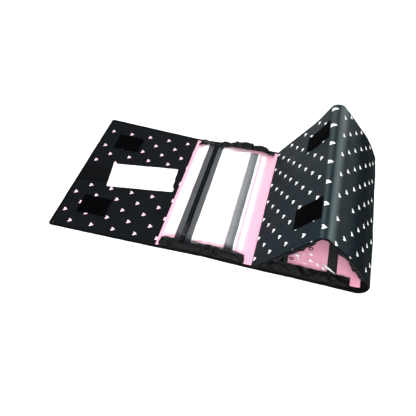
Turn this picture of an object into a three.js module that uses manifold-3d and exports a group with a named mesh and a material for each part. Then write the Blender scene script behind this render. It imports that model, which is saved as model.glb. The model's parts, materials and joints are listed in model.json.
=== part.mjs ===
// Roll-up makeup bag: one padded strip, half unfolded, with four zipped pouches on its inner side.
// Millimetres, +Z up. X runs along the strip, Y across it. The floor is Z = 0.

import * as THREE from 'three';
import { mergeVertices } from 'three/addons/utils/BufferGeometryUtils.js';
import Module from 'manifold-3d';

const wasm = await Module();
wasm.setup();

// Strip: lengths along it, in the order of the panels
const BAG_WIDTH = 270;
const FLAP_LENGTH = 184;
const FIRST_PANEL_LENGTH = 149;
const COVER_LENGTH = 118.5;
const RIDGE_WIDTH = 9.5;
const END_PANEL_LENGTH = 138;
const SPINE_RADIUS = 16;
const COVER_SLOPE = 49.5;

// Cloth layers, from the outer face inwards
const SHELL = 1.4;
const LINING = 1.2;
const SEAT = 0.3;
const BINDING_WIDTH = 4;
const FOOT_LIFT = 0.4;
const FOOT_INSET = 5;

// Hook-and-loop patches
const PATCH_LENGTH = 50;
const PATCH_WIDTH = 38;
const PATCH_THICKNESS = 1.6;
const PATCH_SIDE_INSET = 36;
const FLAP_PATCH_INSET = 33;
const END_PATCH_INSET = 4;

// Hanging strap and the paper sleeve round it
const STRAP_WIDTH = 34;
const STRAP_THICKNESS = 1.2;
const STRAP_ROOT_INSET = 1;
const STRAP_ROOT_SHIFT = -16;
const STRAP_END_MARGIN = 8;
const STRAP_SKEW = 8;
const SLEEVE_LENGTH = 115;
const SLEEVE_BORDER = 9;
const SLEEVE_PAPER = 0.5;
const SLEEVE_END_INSET = 3;

// Pouches
const POUCH_SIDE_MARGIN = 12;
const POUCH_DEPTH = 6.7;
const TENT_POUCH_DEPTH = 8.2;
const POUCH_EDGE = 1.5;
const POUCH_MARGIN = 5;
const FOLD_MARGIN = 8;
const TENT_CLEARANCE = 2;
const TAPER_START = 14;
const TAPER_END = 28;
const GUSSET_WALL = 1;
const VINYL = 0.5;
const HOOK_WIDTH = 15;
const HOOK_THICKNESS = 0.6;
const HOOK_FROM_END = 31;

// Zips
const ZIP_INSET = 35.5;
const TAPE_WIDTH = 27;
const TAPE_THICKNESS = 0.6;
const CHAIN_WIDTH = 5;
const CHAIN_HEIGHT = 1.5;
const SLIDER_LENGTH = 12;
const SLIDER_WALL = 1;
const SLIDER_CLEARANCE = 0.4;
const ZIP_STOP = 14;
const PULL_WIDTH = 6;
const PULL_LENGTH = 22;
const PULL_THICKNESS = 1;
const PULL_SINK = 0.2;

// Fineness of the spine's arc, and how close two corners are before they count as one
const ARC_STEPS = 16;
const SAME_POINT = 1e-4;

const radians = THREE.MathUtils.degToRad;
const STACK = SHELL + SEAT + LINING;
const HALF_GAP = SEAT / 2;
const INNER_WIDTH = BAG_WIDTH - 2 * (BINDING_WIDTH + SEAT);
const POUCH_WIDTH = BAG_WIDTH - 2 * POUCH_SIDE_MARGIN;
const PATCH_OFFSET = (BAG_WIDTH - PATCH_WIDTH) / 2 - PATCH_SIDE_INSET;

// Tent: the cover rises from the spine's arc, the end panel comes down until its foot is on the lining
const coverSlope = radians(COVER_SLOPE);
const spineSweep = Math.PI / 2 - coverSlope;
const coverRise = SPINE_RADIUS * (1 + Math.sin(spineSweep));
const ridgeHeight = coverRise + COVER_LENGTH * Math.sin(coverSlope);
const footReach = Math.hypot(END_PANEL_LENGTH, STACK);
const footDrop = ridgeHeight - STACK - FOOT_LIFT;
const endSlope = Math.asin(footDrop / footReach) - Math.atan2(STACK, END_PANEL_LENGTH);
const footX = FIRST_PANEL_LENGTH + FOOT_INSET;
const footZ = ridgeHeight - END_PANEL_LENGTH * Math.sin(endSlope);
const endTopX = footX + END_PANEL_LENGTH * Math.cos(endSlope);
const coverTopX = endTopX + RIDGE_WIDTH;
const coverFootX = coverTopX + COVER_LENGTH * Math.cos(coverSlope);
const spineX = coverFootX - SPINE_RADIUS * Math.cos(spineSweep);
const secondPanelLength = spineX - FIRST_PANEL_LENGTH;
const coverMitre = Math.tan(coverSlope / 2);
const endMitre = Math.tan(endSlope / 2);

// Pouch places: clear of the foot, of the folds and of each other under the ridge
const pouchTop = (depth) => STACK + SEAT + depth + SEAT + VINYL;
const ridgeHalfAngle = (Math.PI - coverSlope - endSlope) / 2;
const ridgeMargin = pouchTop(TENT_POUCH_DEPTH) / Math.tan(ridgeHalfAngle);
const edgeHeight = POUCH_EDGE + SEAT + VINYL;
const footStep = STACK * Math.sin(endSlope) + edgeHeight / Math.tan(endSlope);
const footClimb = pouchTop(POUCH_DEPTH) + TENT_CLEARANCE - footZ;
const footMargin = (footClimb + pouchTop(TENT_POUCH_DEPTH) * Math.cos(endSlope)) / Math.sin(endSlope);

const material = (color, roughness, options = {}) =>
  new THREE.MeshStandardMaterial({ color, roughness, metalness: 0, ...options });
const charcoal = () => material(0x23292b, 0.5);
const darkLining = () => material(0x16171c, 0.5);
const pinkLining = () => material(0xf2b9cb, 0.6);
const blackTape = () => material(0x0b0b0c, 0.8);
const clearVinyl = () => material(0xf3dbe2, 0.15, { transparent: true, opacity: 0.45 });

// A closed outline in X and Z, drawn across the strip over a width centred on y
function across(outline, width, y = 0) {
  const shape = new THREE.Shape(outline.map(([x, z]) => new THREE.Vector2(x, z)));
  const geometry = new THREE.ExtrudeGeometry(shape, { depth: width, bevelEnabled: false });
  return geometry.rotateX(Math.PI / 2).translate(0, y + width / 2, 0);
}

// A block from its corner values
function block(x0, x1, z0, z1, width, y = 0) {
  return across([[x0, z0], [x1, z0], [x1, z1], [x0, z1]], width, y);
}

// A layer of a panel, with its ends slanted by the mitre of the fold they meet
function layer(length, z0, z1, width, { y = 0, startMitre = 0, endMitre: finishMitre = 0, inset = 0 } = {}) {
  const start = (z) => HALF_GAP + z * startMitre;
  const finish = (z) => length - inset - HALF_GAP - z * finishMitre;
  return across([[start(z0), z0], [finish(z0), z0], [finish(z1), z1], [start(z1), z1]], width, y);
}

function solidOf(geometry) {
  const bare = geometry.clone();
  bare.deleteAttribute('normal');
  bare.deleteAttribute('uv');
  const merged = mergeVertices(bare, SAME_POINT);
  const vertProperties = new Float32Array(merged.attributes.position.array);
  const triVerts = new Uint32Array(merged.index.array);
  return new wasm.Manifold(new wasm.Mesh({ numProp: 3, vertProperties, triVerts }));
}

function geometryOf(solid) {
  const { vertProperties, triVerts } = solid.getMesh();
  const geometry = new THREE.BufferGeometry();
  geometry.setAttribute('position', new THREE.BufferAttribute(new Float32Array(vertProperties), 3));
  geometry.setIndex(new THREE.BufferAttribute(new Uint32Array(triVerts), 1));
  return geometry;
}

const cut = (whole, tool) => geometryOf(solidOf(whole).subtract(solidOf(tool)));
const join = (first, second) => geometryOf(solidOf(first).add(solidOf(second)));

const bag = new THREE.Group();
bag.position.x = (FLAP_LENGTH - spineX - SPINE_RADIUS) / 2;

// A frame that stands on a panel's outer face: X along the strip, Z into the bag
function frame(x, z, angle, parent = bag) {
  const group = new THREE.Group();
  group.position.set(x, 0, z);
  group.rotation.y = -angle;
  parent.add(group);
  return group;
}

function add(parent, name, geometry, finish) {
  const mesh = new THREE.Mesh(geometry, finish);
  mesh.name = name;
  parent.add(mesh);
}

function addPanel(parent, name, length, lining, ends = {}) {
  add(parent, `${name}_shell`, layer(length, 0, SHELL, INNER_WIDTH, ends), charcoal());
  add(parent, `${name}_lining`, layer(length, SHELL + SEAT, STACK, INNER_WIDTH, ends), lining);
}

// Binding tape along the near and far edges of a panel that has folds at both ends
function addSideBindings(parent, name, length, ends = {}) {
  for (const [side, sign] of [['near', -1], ['far', 1]]) {
    const y = (sign * (BAG_WIDTH - BINDING_WIDTH)) / 2;
    const bar = layer(length, 0, STACK, BINDING_WIDTH, { ...ends, y });
    add(parent, `${name}_binding_${side}`, bar, blackTape());
  }
}

function addPatches(parent, name, x, z) {
  for (const [side, sign] of [['near', -1], ['far', 1]]) {
    const patch = block(x, x + PATCH_LENGTH, z, z + PATCH_THICKNESS, PATCH_WIDTH, sign * PATCH_OFFSET);
    add(parent, `${name}_patch_${side}`, patch, blackTape());
  }
}

// Slider: a channel over the chain, with its pull lying along the zip
function sliderGeometry(x, depth, y) {
  const inner = CHAIN_WIDTH / 2 + SEAT;
  const outer = inner + SLIDER_WALL;
  const foot = depth + SEAT;
  const ceiling = depth + CHAIN_HEIGHT + SEAT;
  const roof = ceiling + SLIDER_WALL;
  const channel = across([
    [x - outer, foot], [x - inner, foot], [x - inner, ceiling], [x + inner, ceiling],
    [x + inner, foot], [x + outer, foot], [x + outer, roof], [x - outer, roof],
  ], SLIDER_LENGTH, y);
  const seat = roof - PULL_SINK;
  const pull = block(x - PULL_WIDTH / 2, x + PULL_WIDTH / 2, seat, seat + PULL_THICKNESS, PULL_LENGTH,
    y + PULL_LENGTH / 2);
  return join(channel, pull);
}

// A flat pouch: a gusset all round, a back sheet, a clear front in two pieces and a zip between them
function addPouch(panel, name, start, end, depth) {
  const length = end - start;
  const pouch = new THREE.Group();
  pouch.position.set(start, 0, STACK + SEAT);
  panel.add(pouch);

  const side = [
    [0, 0], [length, 0], [length, POUCH_EDGE],
    [length - TAPER_END, depth], [TAPER_START, depth], [0, POUCH_EDGE],
  ];
  const innerWidth = POUCH_WIDTH - 2 * GUSSET_WALL;
  const hollow = block(GUSSET_WALL, length - GUSSET_WALL, -depth, 2 * depth, innerWidth);
  add(pouch, `${name}_gusset`, cut(across(side, POUCH_WIDTH), hollow), blackTape());

  const gap = GUSSET_WALL + SEAT;
  const sheetWidth = innerWidth - 2 * SEAT;
  const backZ = HOOK_THICKNESS + SEAT;
  add(pouch, `${name}_back`, block(gap, length - gap, backZ, backZ + VINYL, sheetWidth), clearVinyl());
  const hookX = length - HOOK_FROM_END - HOOK_WIDTH / 2;
  const hookStrip = block(hookX, hookX + HOOK_WIDTH, 0, HOOK_THICKNESS, sheetWidth);
  add(pouch, `${name}_hook_strip`, hookStrip, blackTape());

  const slot = CHAIN_WIDTH / 2 + SEAT + SLIDER_WALL + SLIDER_CLEARANCE;
  const low = POUCH_EDGE + SEAT;
  const high = depth + SEAT;
  const window = [
    [ZIP_INSET + slot, high], [length - TAPER_END, high], [length, low],
    [length, low + VINYL], [length - TAPER_END, high + VINYL], [ZIP_INSET + slot, high + VINYL],
  ];
  add(pouch, `${name}_window`, across(window, POUCH_WIDTH), clearVinyl());
  const strip = [
    [0, low], [TAPER_START, high], [ZIP_INSET - slot, high],
    [ZIP_INSET - slot, high + VINYL], [TAPER_START, high + VINYL], [0, low + VINYL],
  ];
  add(pouch, `${name}_front_strip`, across(strip, POUCH_WIDTH), clearVinyl());

  const tapeHalf = TAPE_WIDTH / 2;
  const chainHalf = CHAIN_WIDTH / 2;
  const tape = [
    [ZIP_INSET - tapeHalf, depth - TAPE_THICKNESS], [ZIP_INSET + tapeHalf, depth - TAPE_THICKNESS],
    [ZIP_INSET + tapeHalf, depth], [ZIP_INSET + chainHalf, depth],
    [ZIP_INSET + chainHalf, depth + CHAIN_HEIGHT], [ZIP_INSET - chainHalf, depth + CHAIN_HEIGHT],
    [ZIP_INSET - chainHalf, depth], [ZIP_INSET - tapeHalf, depth],
  ];
  add(pouch, `${name}_zip_tape`, across(tape, sheetWidth), blackTape());
  const sliderY = (SLIDER_LENGTH - POUCH_WIDTH) / 2 + ZIP_STOP;
  add(pouch, `${name}_zip_slider`, sliderGeometry(ZIP_INSET, depth, sliderY), material(0x141415, 0.4));
}

// Closing flap, with its binding round three edges
const flap = frame(-FLAP_LENGTH, 0, 0);
const flapInner = frame(BINDING_WIDTH + SEAT, 0, 0, flap);
const flapClothLength = FLAP_LENGTH - BINDING_WIDTH - SEAT;
addPanel(flapInner, 'flap', flapClothLength, darkLining());
const flapEdge = layer(FLAP_LENGTH, 0, STACK, BAG_WIDTH);
const flapHole = block(BINDING_WIDTH, 2 * FLAP_LENGTH, -STACK, 2 * STACK, BAG_WIDTH - 2 * BINDING_WIDTH);
add(flap, 'flap_binding', cut(flapEdge, flapHole), blackTape());
addPatches(flap, 'flap', FLAP_PATCH_INSET, STACK + SEAT);

// Hanging strap, sewn down at its root, and the sleeve over it
const strap = new THREE.Group();
const strapSkew = radians(STRAP_SKEW);
const strapCorner = (STRAP_WIDTH / 2) * Math.sin(strapSkew);
strap.position.set(STRAP_ROOT_INSET + strapCorner, STRAP_ROOT_SHIFT, STACK + SEAT);
strap.rotation.z = strapSkew;
flap.add(strap);
const strapReach = FLAP_LENGTH - STRAP_ROOT_INSET - 2 * strapCorner - STRAP_END_MARGIN;
const strapLength = strapReach / Math.cos(strapSkew);
add(strap, 'hanging_strap', block(0, strapLength, 0, STRAP_THICKNESS, STRAP_WIDTH), blackTape());
const sleeveStart = strapLength - SLEEVE_END_INSET - SLEEVE_LENGTH;
const sleeveWidth = STRAP_WIDTH + 2 * SLEEVE_BORDER;
const strapSpaceWidth = STRAP_WIDTH + 2 * SEAT;
const strapSpaceTop = STRAP_THICKNESS + SEAT;
const sleeveTop = strapSpaceTop + SLEEVE_PAPER;
const sleeveBlock = block(sleeveStart, sleeveStart + SLEEVE_LENGTH, 0, sleeveTop, sleeveWidth);
const strapSpace = block(0, 2 * strapLength, -STRAP_THICKNESS, strapSpaceTop, strapSpaceWidth);
add(strap, 'strap_sleeve', cut(sleeveBlock, strapSpace), material(0xf6f5f4, 0.7));

// First and second panels, flat on the floor
const firstPanel = frame(0, 0, 0);
addPanel(firstPanel, 'first_panel', FIRST_PANEL_LENGTH, pinkLining());
addSideBindings(firstPanel, 'first_panel', FIRST_PANEL_LENGTH);
addPouch(firstPanel, 'pouch_1', POUCH_MARGIN, FIRST_PANEL_LENGTH - POUCH_MARGIN, POUCH_DEPTH);

const secondPanel = frame(FIRST_PANEL_LENGTH, 0, 0);
addPanel(secondPanel, 'second_panel', secondPanelLength, pinkLining());
addSideBindings(secondPanel, 'second_panel', secondPanelLength);
const secondPouchStart = FOOT_INSET + footStep + TENT_CLEARANCE;
addPouch(secondPanel, 'pouch_2', secondPouchStart, secondPanelLength - POUCH_MARGIN, POUCH_DEPTH);

// Spine: an arc of the whole stack, from the floor up to the cover
function spineGeometry() {
  const gapAngle = HALF_GAP / (SPINE_RADIUS - STACK);
  const from = -Math.PI / 2 + gapAngle;
  const to = spineSweep - gapAngle;
  const shape = new THREE.Shape();
  shape.absarc(0, 0, SPINE_RADIUS, from, to, false);
  shape.absarc(0, 0, SPINE_RADIUS - STACK, to, from, true);
  const settings = { depth: BAG_WIDTH, bevelEnabled: false, curveSegments: ARC_STEPS };
  return new THREE.ExtrudeGeometry(shape, settings).rotateX(Math.PI / 2).translate(0, BAG_WIDTH / 2, 0);
}
add(frame(spineX, SPINE_RADIUS, 0), 'spine_strip', spineGeometry(), charcoal());

// Cover, ridge strip and end panel
const cover = frame(coverFootX, coverRise, Math.PI - coverSlope);
const coverEnds = { endMitre: coverMitre };
addPanel(cover, 'cover', COVER_LENGTH, pinkLining(), coverEnds);
addSideBindings(cover, 'cover', COVER_LENGTH, coverEnds);
addPouch(cover, 'pouch_3', FOLD_MARGIN, COVER_LENGTH - ridgeMargin, TENT_POUCH_DEPTH);

const ridge = frame(coverTopX, ridgeHeight, Math.PI);
const ridgeEnds = { startMitre: coverMitre, endMitre };
add(ridge, 'ridge_strip', layer(RIDGE_WIDTH, 0, STACK, BAG_WIDTH, ridgeEnds), charcoal());

const endPanel = frame(endTopX, ridgeHeight, Math.PI + endSlope);
const endStart = { startMitre: endMitre };
const endInset = BINDING_WIDTH + SEAT - HALF_GAP;
addPanel(endPanel, 'end_panel', END_PANEL_LENGTH, pinkLining(), { ...endStart, inset: endInset });
const endEdge = layer(END_PANEL_LENGTH, 0, STACK, BAG_WIDTH, endStart);
const endHole = block(-END_PANEL_LENGTH, END_PANEL_LENGTH - HALF_GAP - BINDING_WIDTH, -STACK, 2 * STACK,
  BAG_WIDTH - 2 * BINDING_WIDTH);
add(endPanel, 'end_panel_binding', cut(endEdge, endHole), blackTape());
addPatches(endPanel, 'end_panel', END_PATCH_INSET, -SEAT - PATCH_THICKNESS);
addPouch(endPanel, 'pouch_4', ridgeMargin, END_PANEL_LENGTH - footMargin, TENT_POUCH_DEPTH);

export default bag;
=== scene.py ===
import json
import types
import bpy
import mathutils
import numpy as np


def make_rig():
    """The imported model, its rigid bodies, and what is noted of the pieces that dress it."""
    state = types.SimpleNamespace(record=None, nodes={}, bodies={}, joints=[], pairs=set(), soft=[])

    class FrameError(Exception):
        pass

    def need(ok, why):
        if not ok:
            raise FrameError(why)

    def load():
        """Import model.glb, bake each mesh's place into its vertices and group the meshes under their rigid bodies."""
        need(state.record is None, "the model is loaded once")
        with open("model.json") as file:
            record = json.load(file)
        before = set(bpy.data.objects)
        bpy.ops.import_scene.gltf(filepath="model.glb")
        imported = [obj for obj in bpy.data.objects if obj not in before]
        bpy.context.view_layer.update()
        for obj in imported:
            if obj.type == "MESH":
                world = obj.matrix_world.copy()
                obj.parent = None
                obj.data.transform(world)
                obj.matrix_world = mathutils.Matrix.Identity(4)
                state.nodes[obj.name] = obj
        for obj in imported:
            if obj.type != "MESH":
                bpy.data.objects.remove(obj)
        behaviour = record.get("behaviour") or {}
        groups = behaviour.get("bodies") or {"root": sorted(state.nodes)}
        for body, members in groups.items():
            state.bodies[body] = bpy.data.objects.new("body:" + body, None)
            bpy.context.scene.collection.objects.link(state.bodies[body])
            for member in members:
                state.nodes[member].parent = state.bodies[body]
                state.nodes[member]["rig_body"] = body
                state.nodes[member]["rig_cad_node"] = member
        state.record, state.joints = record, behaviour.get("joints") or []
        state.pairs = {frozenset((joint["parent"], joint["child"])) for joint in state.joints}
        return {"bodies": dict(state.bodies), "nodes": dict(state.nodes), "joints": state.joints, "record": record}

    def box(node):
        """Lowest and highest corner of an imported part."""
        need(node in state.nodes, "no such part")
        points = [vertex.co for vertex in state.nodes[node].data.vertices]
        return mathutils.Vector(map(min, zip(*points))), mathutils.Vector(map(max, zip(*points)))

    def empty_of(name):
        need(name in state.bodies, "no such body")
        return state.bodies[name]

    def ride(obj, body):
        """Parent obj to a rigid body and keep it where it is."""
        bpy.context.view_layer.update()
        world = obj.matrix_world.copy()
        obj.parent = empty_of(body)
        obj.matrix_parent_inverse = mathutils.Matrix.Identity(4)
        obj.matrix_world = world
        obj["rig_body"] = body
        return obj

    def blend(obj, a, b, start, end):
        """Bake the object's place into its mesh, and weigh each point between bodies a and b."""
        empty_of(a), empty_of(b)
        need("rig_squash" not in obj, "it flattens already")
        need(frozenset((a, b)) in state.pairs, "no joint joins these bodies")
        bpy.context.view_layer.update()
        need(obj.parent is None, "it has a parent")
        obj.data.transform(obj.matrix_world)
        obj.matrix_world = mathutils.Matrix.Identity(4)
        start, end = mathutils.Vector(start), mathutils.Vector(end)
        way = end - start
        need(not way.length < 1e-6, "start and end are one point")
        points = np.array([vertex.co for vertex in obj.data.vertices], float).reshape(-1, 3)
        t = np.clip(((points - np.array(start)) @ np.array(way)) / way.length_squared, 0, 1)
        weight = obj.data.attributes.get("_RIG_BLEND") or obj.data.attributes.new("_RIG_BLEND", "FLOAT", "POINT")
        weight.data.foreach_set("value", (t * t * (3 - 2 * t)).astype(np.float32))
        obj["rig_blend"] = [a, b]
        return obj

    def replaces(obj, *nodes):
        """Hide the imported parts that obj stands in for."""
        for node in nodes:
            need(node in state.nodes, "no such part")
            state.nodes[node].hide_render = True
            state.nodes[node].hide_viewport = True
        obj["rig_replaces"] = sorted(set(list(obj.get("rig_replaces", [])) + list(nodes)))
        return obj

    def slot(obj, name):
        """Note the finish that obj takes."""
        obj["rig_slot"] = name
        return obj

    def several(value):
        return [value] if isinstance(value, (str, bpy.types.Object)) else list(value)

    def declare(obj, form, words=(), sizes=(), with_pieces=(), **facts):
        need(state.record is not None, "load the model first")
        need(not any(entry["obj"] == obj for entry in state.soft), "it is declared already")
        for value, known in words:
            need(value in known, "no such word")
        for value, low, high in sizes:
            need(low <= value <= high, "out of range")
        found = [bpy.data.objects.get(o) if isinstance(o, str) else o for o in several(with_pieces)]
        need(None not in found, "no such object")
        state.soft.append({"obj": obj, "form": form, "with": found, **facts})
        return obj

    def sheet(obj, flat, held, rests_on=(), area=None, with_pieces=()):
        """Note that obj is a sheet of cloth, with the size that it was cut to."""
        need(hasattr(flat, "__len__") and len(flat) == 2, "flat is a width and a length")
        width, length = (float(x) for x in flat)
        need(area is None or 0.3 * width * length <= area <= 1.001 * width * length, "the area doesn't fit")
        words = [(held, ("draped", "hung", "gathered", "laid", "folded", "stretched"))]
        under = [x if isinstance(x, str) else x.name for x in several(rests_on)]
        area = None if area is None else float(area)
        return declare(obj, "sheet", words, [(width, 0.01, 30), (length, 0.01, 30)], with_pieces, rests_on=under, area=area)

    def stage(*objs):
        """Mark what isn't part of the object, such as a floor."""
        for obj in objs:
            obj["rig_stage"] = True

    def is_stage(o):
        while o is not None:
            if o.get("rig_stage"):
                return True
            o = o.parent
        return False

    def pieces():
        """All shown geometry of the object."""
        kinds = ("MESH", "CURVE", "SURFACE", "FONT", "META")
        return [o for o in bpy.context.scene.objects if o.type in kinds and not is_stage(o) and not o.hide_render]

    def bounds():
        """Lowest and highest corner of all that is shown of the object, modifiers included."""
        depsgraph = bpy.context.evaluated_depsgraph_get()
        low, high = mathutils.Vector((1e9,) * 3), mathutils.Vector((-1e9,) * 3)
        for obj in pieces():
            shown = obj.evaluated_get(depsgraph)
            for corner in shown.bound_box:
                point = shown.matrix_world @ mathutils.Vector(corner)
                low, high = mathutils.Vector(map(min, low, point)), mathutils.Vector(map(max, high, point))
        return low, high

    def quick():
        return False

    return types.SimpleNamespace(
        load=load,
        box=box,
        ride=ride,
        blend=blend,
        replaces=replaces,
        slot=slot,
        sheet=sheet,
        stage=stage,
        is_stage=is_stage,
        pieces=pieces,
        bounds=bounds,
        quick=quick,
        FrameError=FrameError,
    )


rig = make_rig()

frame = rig.load()

import json
import math

import bmesh
import bpy
import numpy as np
from mathutils import Matrix, Vector

# Units and the CAD box
MM = 0.001
CAD_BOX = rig.bounds()
JOINTS = {joint["name"]: joint for joint in frame["joints"]}
SIDES = ((-1, "near"), (1, "far"))

# Landmarks of the strip, in millimetres, read from the frame


def spot(joint):
    """Place of a joint's axis in the side view, as x and z."""
    x, _, z = JOINTS[joint]["pos_m"]
    return x / MM, z / MM


FLAP_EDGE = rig.box("flap_binding")[0].x / MM
HALF_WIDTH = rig.box("flap_binding")[1].y / MM
FLAP_FOLD = spot("flap_fold")[0]
MID_FOLD = spot("mid_fold")[0]
SPINE_START = spot("spine_fold")[0]
RIDGE_RIGHT = spot("ridge_turn")
RIDGE_LEFT = spot("end_lift")
RIDGE_WIDTH = RIDGE_RIGHT[0] - RIDGE_LEFT[0]

# Sizes of the bag, in millimetres, and its slopes
SPINE_RADIUS = 16
END_LENGTH = 138
END_SLOPE = math.radians(53.89)
CREASE_RADIUS = 5
CREASE_ROLL = 0.9
SHELL = 1.4
LINING_UNDER = 1.6
LINING_TOP = 2.9
PANEL_REACH = 130.9
PANEL_COLUMNS = 55
SKIN_WIDER = 2.7
SKIN_OVER_TAPE = 0.15
SWELL = 1.3
SWELL_UNEVEN = 0.45
SWELL_EDGE_POWER = 6
ROLL_HALF = 5
LINING_DIP = 0.1
LINING_WAVE = 0.16
COVER_BOW = 9
BOW_POWER = 1.5
BOW_FAR = 0.2
RIDGE_FAR_LIFT = 6
LIFT_BEFORE = 60
LIFT_AFTER = 50
RIDGE_LEAN = 4
TAPE_CORNER = 5
BEND_REACH = 2.5
SPINE_EASE = 8

# Steps between points, in millimetres, and waves in a ripple
WALK_STEP = 0.25
COARSE_STEP = 4.0
FINE_STEP = 1.0
NEAR_BEND = 9.0
WAVES = 8

# The strip's side view


def spine_turn():
    """Angle that the spine turns through, up to the straight line that meets the ridge."""
    across = RIDGE_RIGHT[0] - SPINE_START
    up = RIDGE_RIGHT[1] - SPINE_RADIUS
    touch = math.atan2(up, across) - math.acos(SPINE_RADIUS / math.hypot(across, up))
    return touch + math.pi / 2


SPINE_TURN = spine_turn()
RIGHT_TURN = math.pi - SPINE_TURN
RIGHT_CUT = CREASE_RADIUS * math.tan(RIGHT_TURN / 2)
LEFT_CUT = CREASE_RADIUS * math.tan(END_SLOPE / 2)
COVER_LENGTH = math.sqrt(
    (RIDGE_RIGHT[0] - SPINE_START) ** 2 + (RIDGE_RIGHT[1] - SPINE_RADIUS) ** 2 - SPINE_RADIUS**2
)
# Each move along the outer skin: its length and the angle that it turns through
MOVES = [
    (SPINE_START - FLAP_EDGE, 0),
    (SPINE_RADIUS * SPINE_TURN, SPINE_TURN),
    (COVER_LENGTH - RIGHT_CUT, 0),
    (CREASE_RADIUS * RIGHT_TURN, RIGHT_TURN),
    (RIDGE_WIDTH - RIGHT_CUT - LEFT_CUT, 0),
    (CREASE_RADIUS * END_SLOPE, END_SLOPE),
    (END_LENGTH - LEFT_CUT, 0),
]


def walk():
    """Fine points along the outer skin: distance, x, z and heading, one row each."""
    distance, x, z, heading = 0.0, FLAP_EDGE, 0.0, 0.0
    rows = [(distance, x, z, heading)]
    for length, turn in MOVES:
        count = round(length / WALK_STEP)
        for _ in range(count):
            heading += turn / count / 2
            x += math.cos(heading) * length / count
            z += math.sin(heading) * length / count
            heading += turn / count / 2
            distance += length / count
            rows.append((distance, x, z, heading))
    return np.array(rows).T


WALK = walk()
STOPS = np.cumsum([length for length, _ in MOVES])
AT_FLAP_FOLD = FLAP_FOLD - FLAP_EDGE
AT_MID_FOLD = MID_FOLD - FLAP_EDGE
AT_SPINE_IN = STOPS[0]
AT_SPINE_OUT = STOPS[1]
AT_RIGHT_CREASE = (STOPS[2] + STOPS[3]) / 2
AT_LEFT_CREASE = (STOPS[4] + STOPS[5]) / 2
AT_END = STOPS[6]
AT_END_TOP = AT_END - END_LENGTH
MID_FIRST = (AT_FLAP_FOLD + AT_MID_FOLD) / 2
MID_SECOND = (AT_MID_FOLD + AT_SPINE_IN) / 2
MID_SPINE = (AT_SPINE_IN + AT_SPINE_OUT) / 2
MID_COVER = (AT_SPINE_OUT + AT_RIGHT_CREASE) / 2
MID_RIDGE = (AT_RIGHT_CREASE + AT_LEFT_CREASE) / 2
BENDS = (AT_FLAP_FOLD, AT_MID_FOLD, AT_SPINE_IN, MID_SPINE, AT_SPINE_OUT, AT_RIGHT_CREASE, AT_LEFT_CREASE)

# Each stretch of cloth bends at one joint: start, bend and stop along the strip, and its two bodies
STRETCHES = {
    "flap": (0, AT_FLAP_FOLD, MID_FIRST, "flap", "first_panel"),
    "first_panel": (MID_FIRST, AT_MID_FOLD, MID_SECOND, "first_panel", "base"),
    "second_panel": (MID_SECOND, AT_SPINE_IN, MID_SPINE, "base", "spine"),
    "spine": (MID_SPINE, AT_SPINE_OUT, MID_COVER, "spine", "cover"),
    "cover": (MID_COVER, AT_RIGHT_CREASE, MID_RIDGE, "cover", "ridge"),
    "end_panel": (MID_RIDGE, AT_LEFT_CREASE, AT_END, "ridge", "end_panel"),
}
# The spine's lower half bends all along, so that it stays on the floor
LONG_BENDS = {"second_panel": (AT_SPINE_IN, MID_SPINE)}

# The seams gather the cloth: a scale and a shift of its width at places along the strip
GATHERS = np.array([
    (0, 1.013, -1.6),
    (AT_FLAP_FOLD, 0.962, -6.0),
    (MID_FIRST, 0.962, -4.0),
    (AT_MID_FOLD, 0.97, -4.5),
    (MID_SECOND, 0.985, -2.5),
    (AT_SPINE_IN, 1.0, -1.5),
    (AT_SPINE_OUT, 1.0, -0.5),
    (MID_RIDGE, 1.03, -0.5),
    (AT_END, 0.977, -7.2),
]).T


def rise(value, low, high):
    """Smooth step from 0 at low to 1 at high."""
    t = np.clip((value - low) / (high - low), 0, 1)
    return t * t * (3 - 2 * t)


def bump(value, low, high):
    """Smooth hump that is 1 in the middle of low and high, and 0 outside them."""
    middle = (low + high) / 2
    return rise(value, low, middle) * (1 - rise(value, middle, high))


def ripples(a, b, seed, longest, shortest):
    """Smooth uneven waves between about -1 and 1 over two coordinates."""
    chance = np.random.default_rng(seed)
    total = np.zeros(np.broadcast(a, b).shape)
    for length in np.geomspace(longest, shortest, WAVES):
        turn = chance.uniform(0, math.tau)
        phase = chance.uniform(0, math.tau)
        total = total + np.sin((a * math.cos(turn) + b * math.sin(turn)) * math.tau / length + phase)
    return total / math.sqrt(WAVES * 2)


def arch(along, across):
    """How far the raised cloth arches outward: along the cover, and at the far end of the ridge."""
    far = np.clip((across + HALF_WIDTH) / (2 * HALF_WIDTH), 0, 1)
    share = np.clip((along - MID_SPINE) / (AT_RIGHT_CREASE - MID_SPINE), 0, 1)
    bow = COVER_BOW * np.sin(math.pi * share) ** BOW_POWER * (1 - BOW_FAR + BOW_FAR * far)
    by_ridge = bump(along, AT_RIGHT_CREASE - LIFT_BEFORE, AT_LEFT_CREASE + LIFT_AFTER)
    return bow + RIDGE_FAR_LIFT * far**2 * by_ridge


def place(along, across, inward):
    """World points in metres of places on the strip, inward being the height over the outer skin."""
    along, across, inward = np.broadcast_arrays(along, across, inward)
    inside = np.clip(along, 0, AT_END)
    x, z, heading = (np.interp(inside, WALK[0], row) for row in WALK[1:])
    beyond = along - inside
    depth = inward - arch(along, across)
    x = x + beyond * np.cos(heading) - depth * np.sin(heading)
    z = z + beyond * np.sin(heading) + depth * np.cos(heading)
    x = x + RIDGE_LEAN * np.clip(z / RIDGE_RIGHT[1], 0, 1) ** 2 * (1 - across / HALF_WIDTH) / 2
    scale, shift = (np.interp(inside, GATHERS[0], row) for row in GATHERS[1:])
    return np.stack([x, across * scale + shift, z], -1) * MM


def stations(start, stop):
    """Places along the strip, nearer to each other by a bend."""
    places = [start]
    while places[-1] < stop - FINE_STEP / 2:
        gap = min(abs(places[-1] - bend) for bend in BENDS)
        places.append(places[-1] + (FINE_STEP if gap < NEAR_BEND else COARSE_STEP))
    places[-1] = stop
    return np.array(places)


# Meshes

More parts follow.
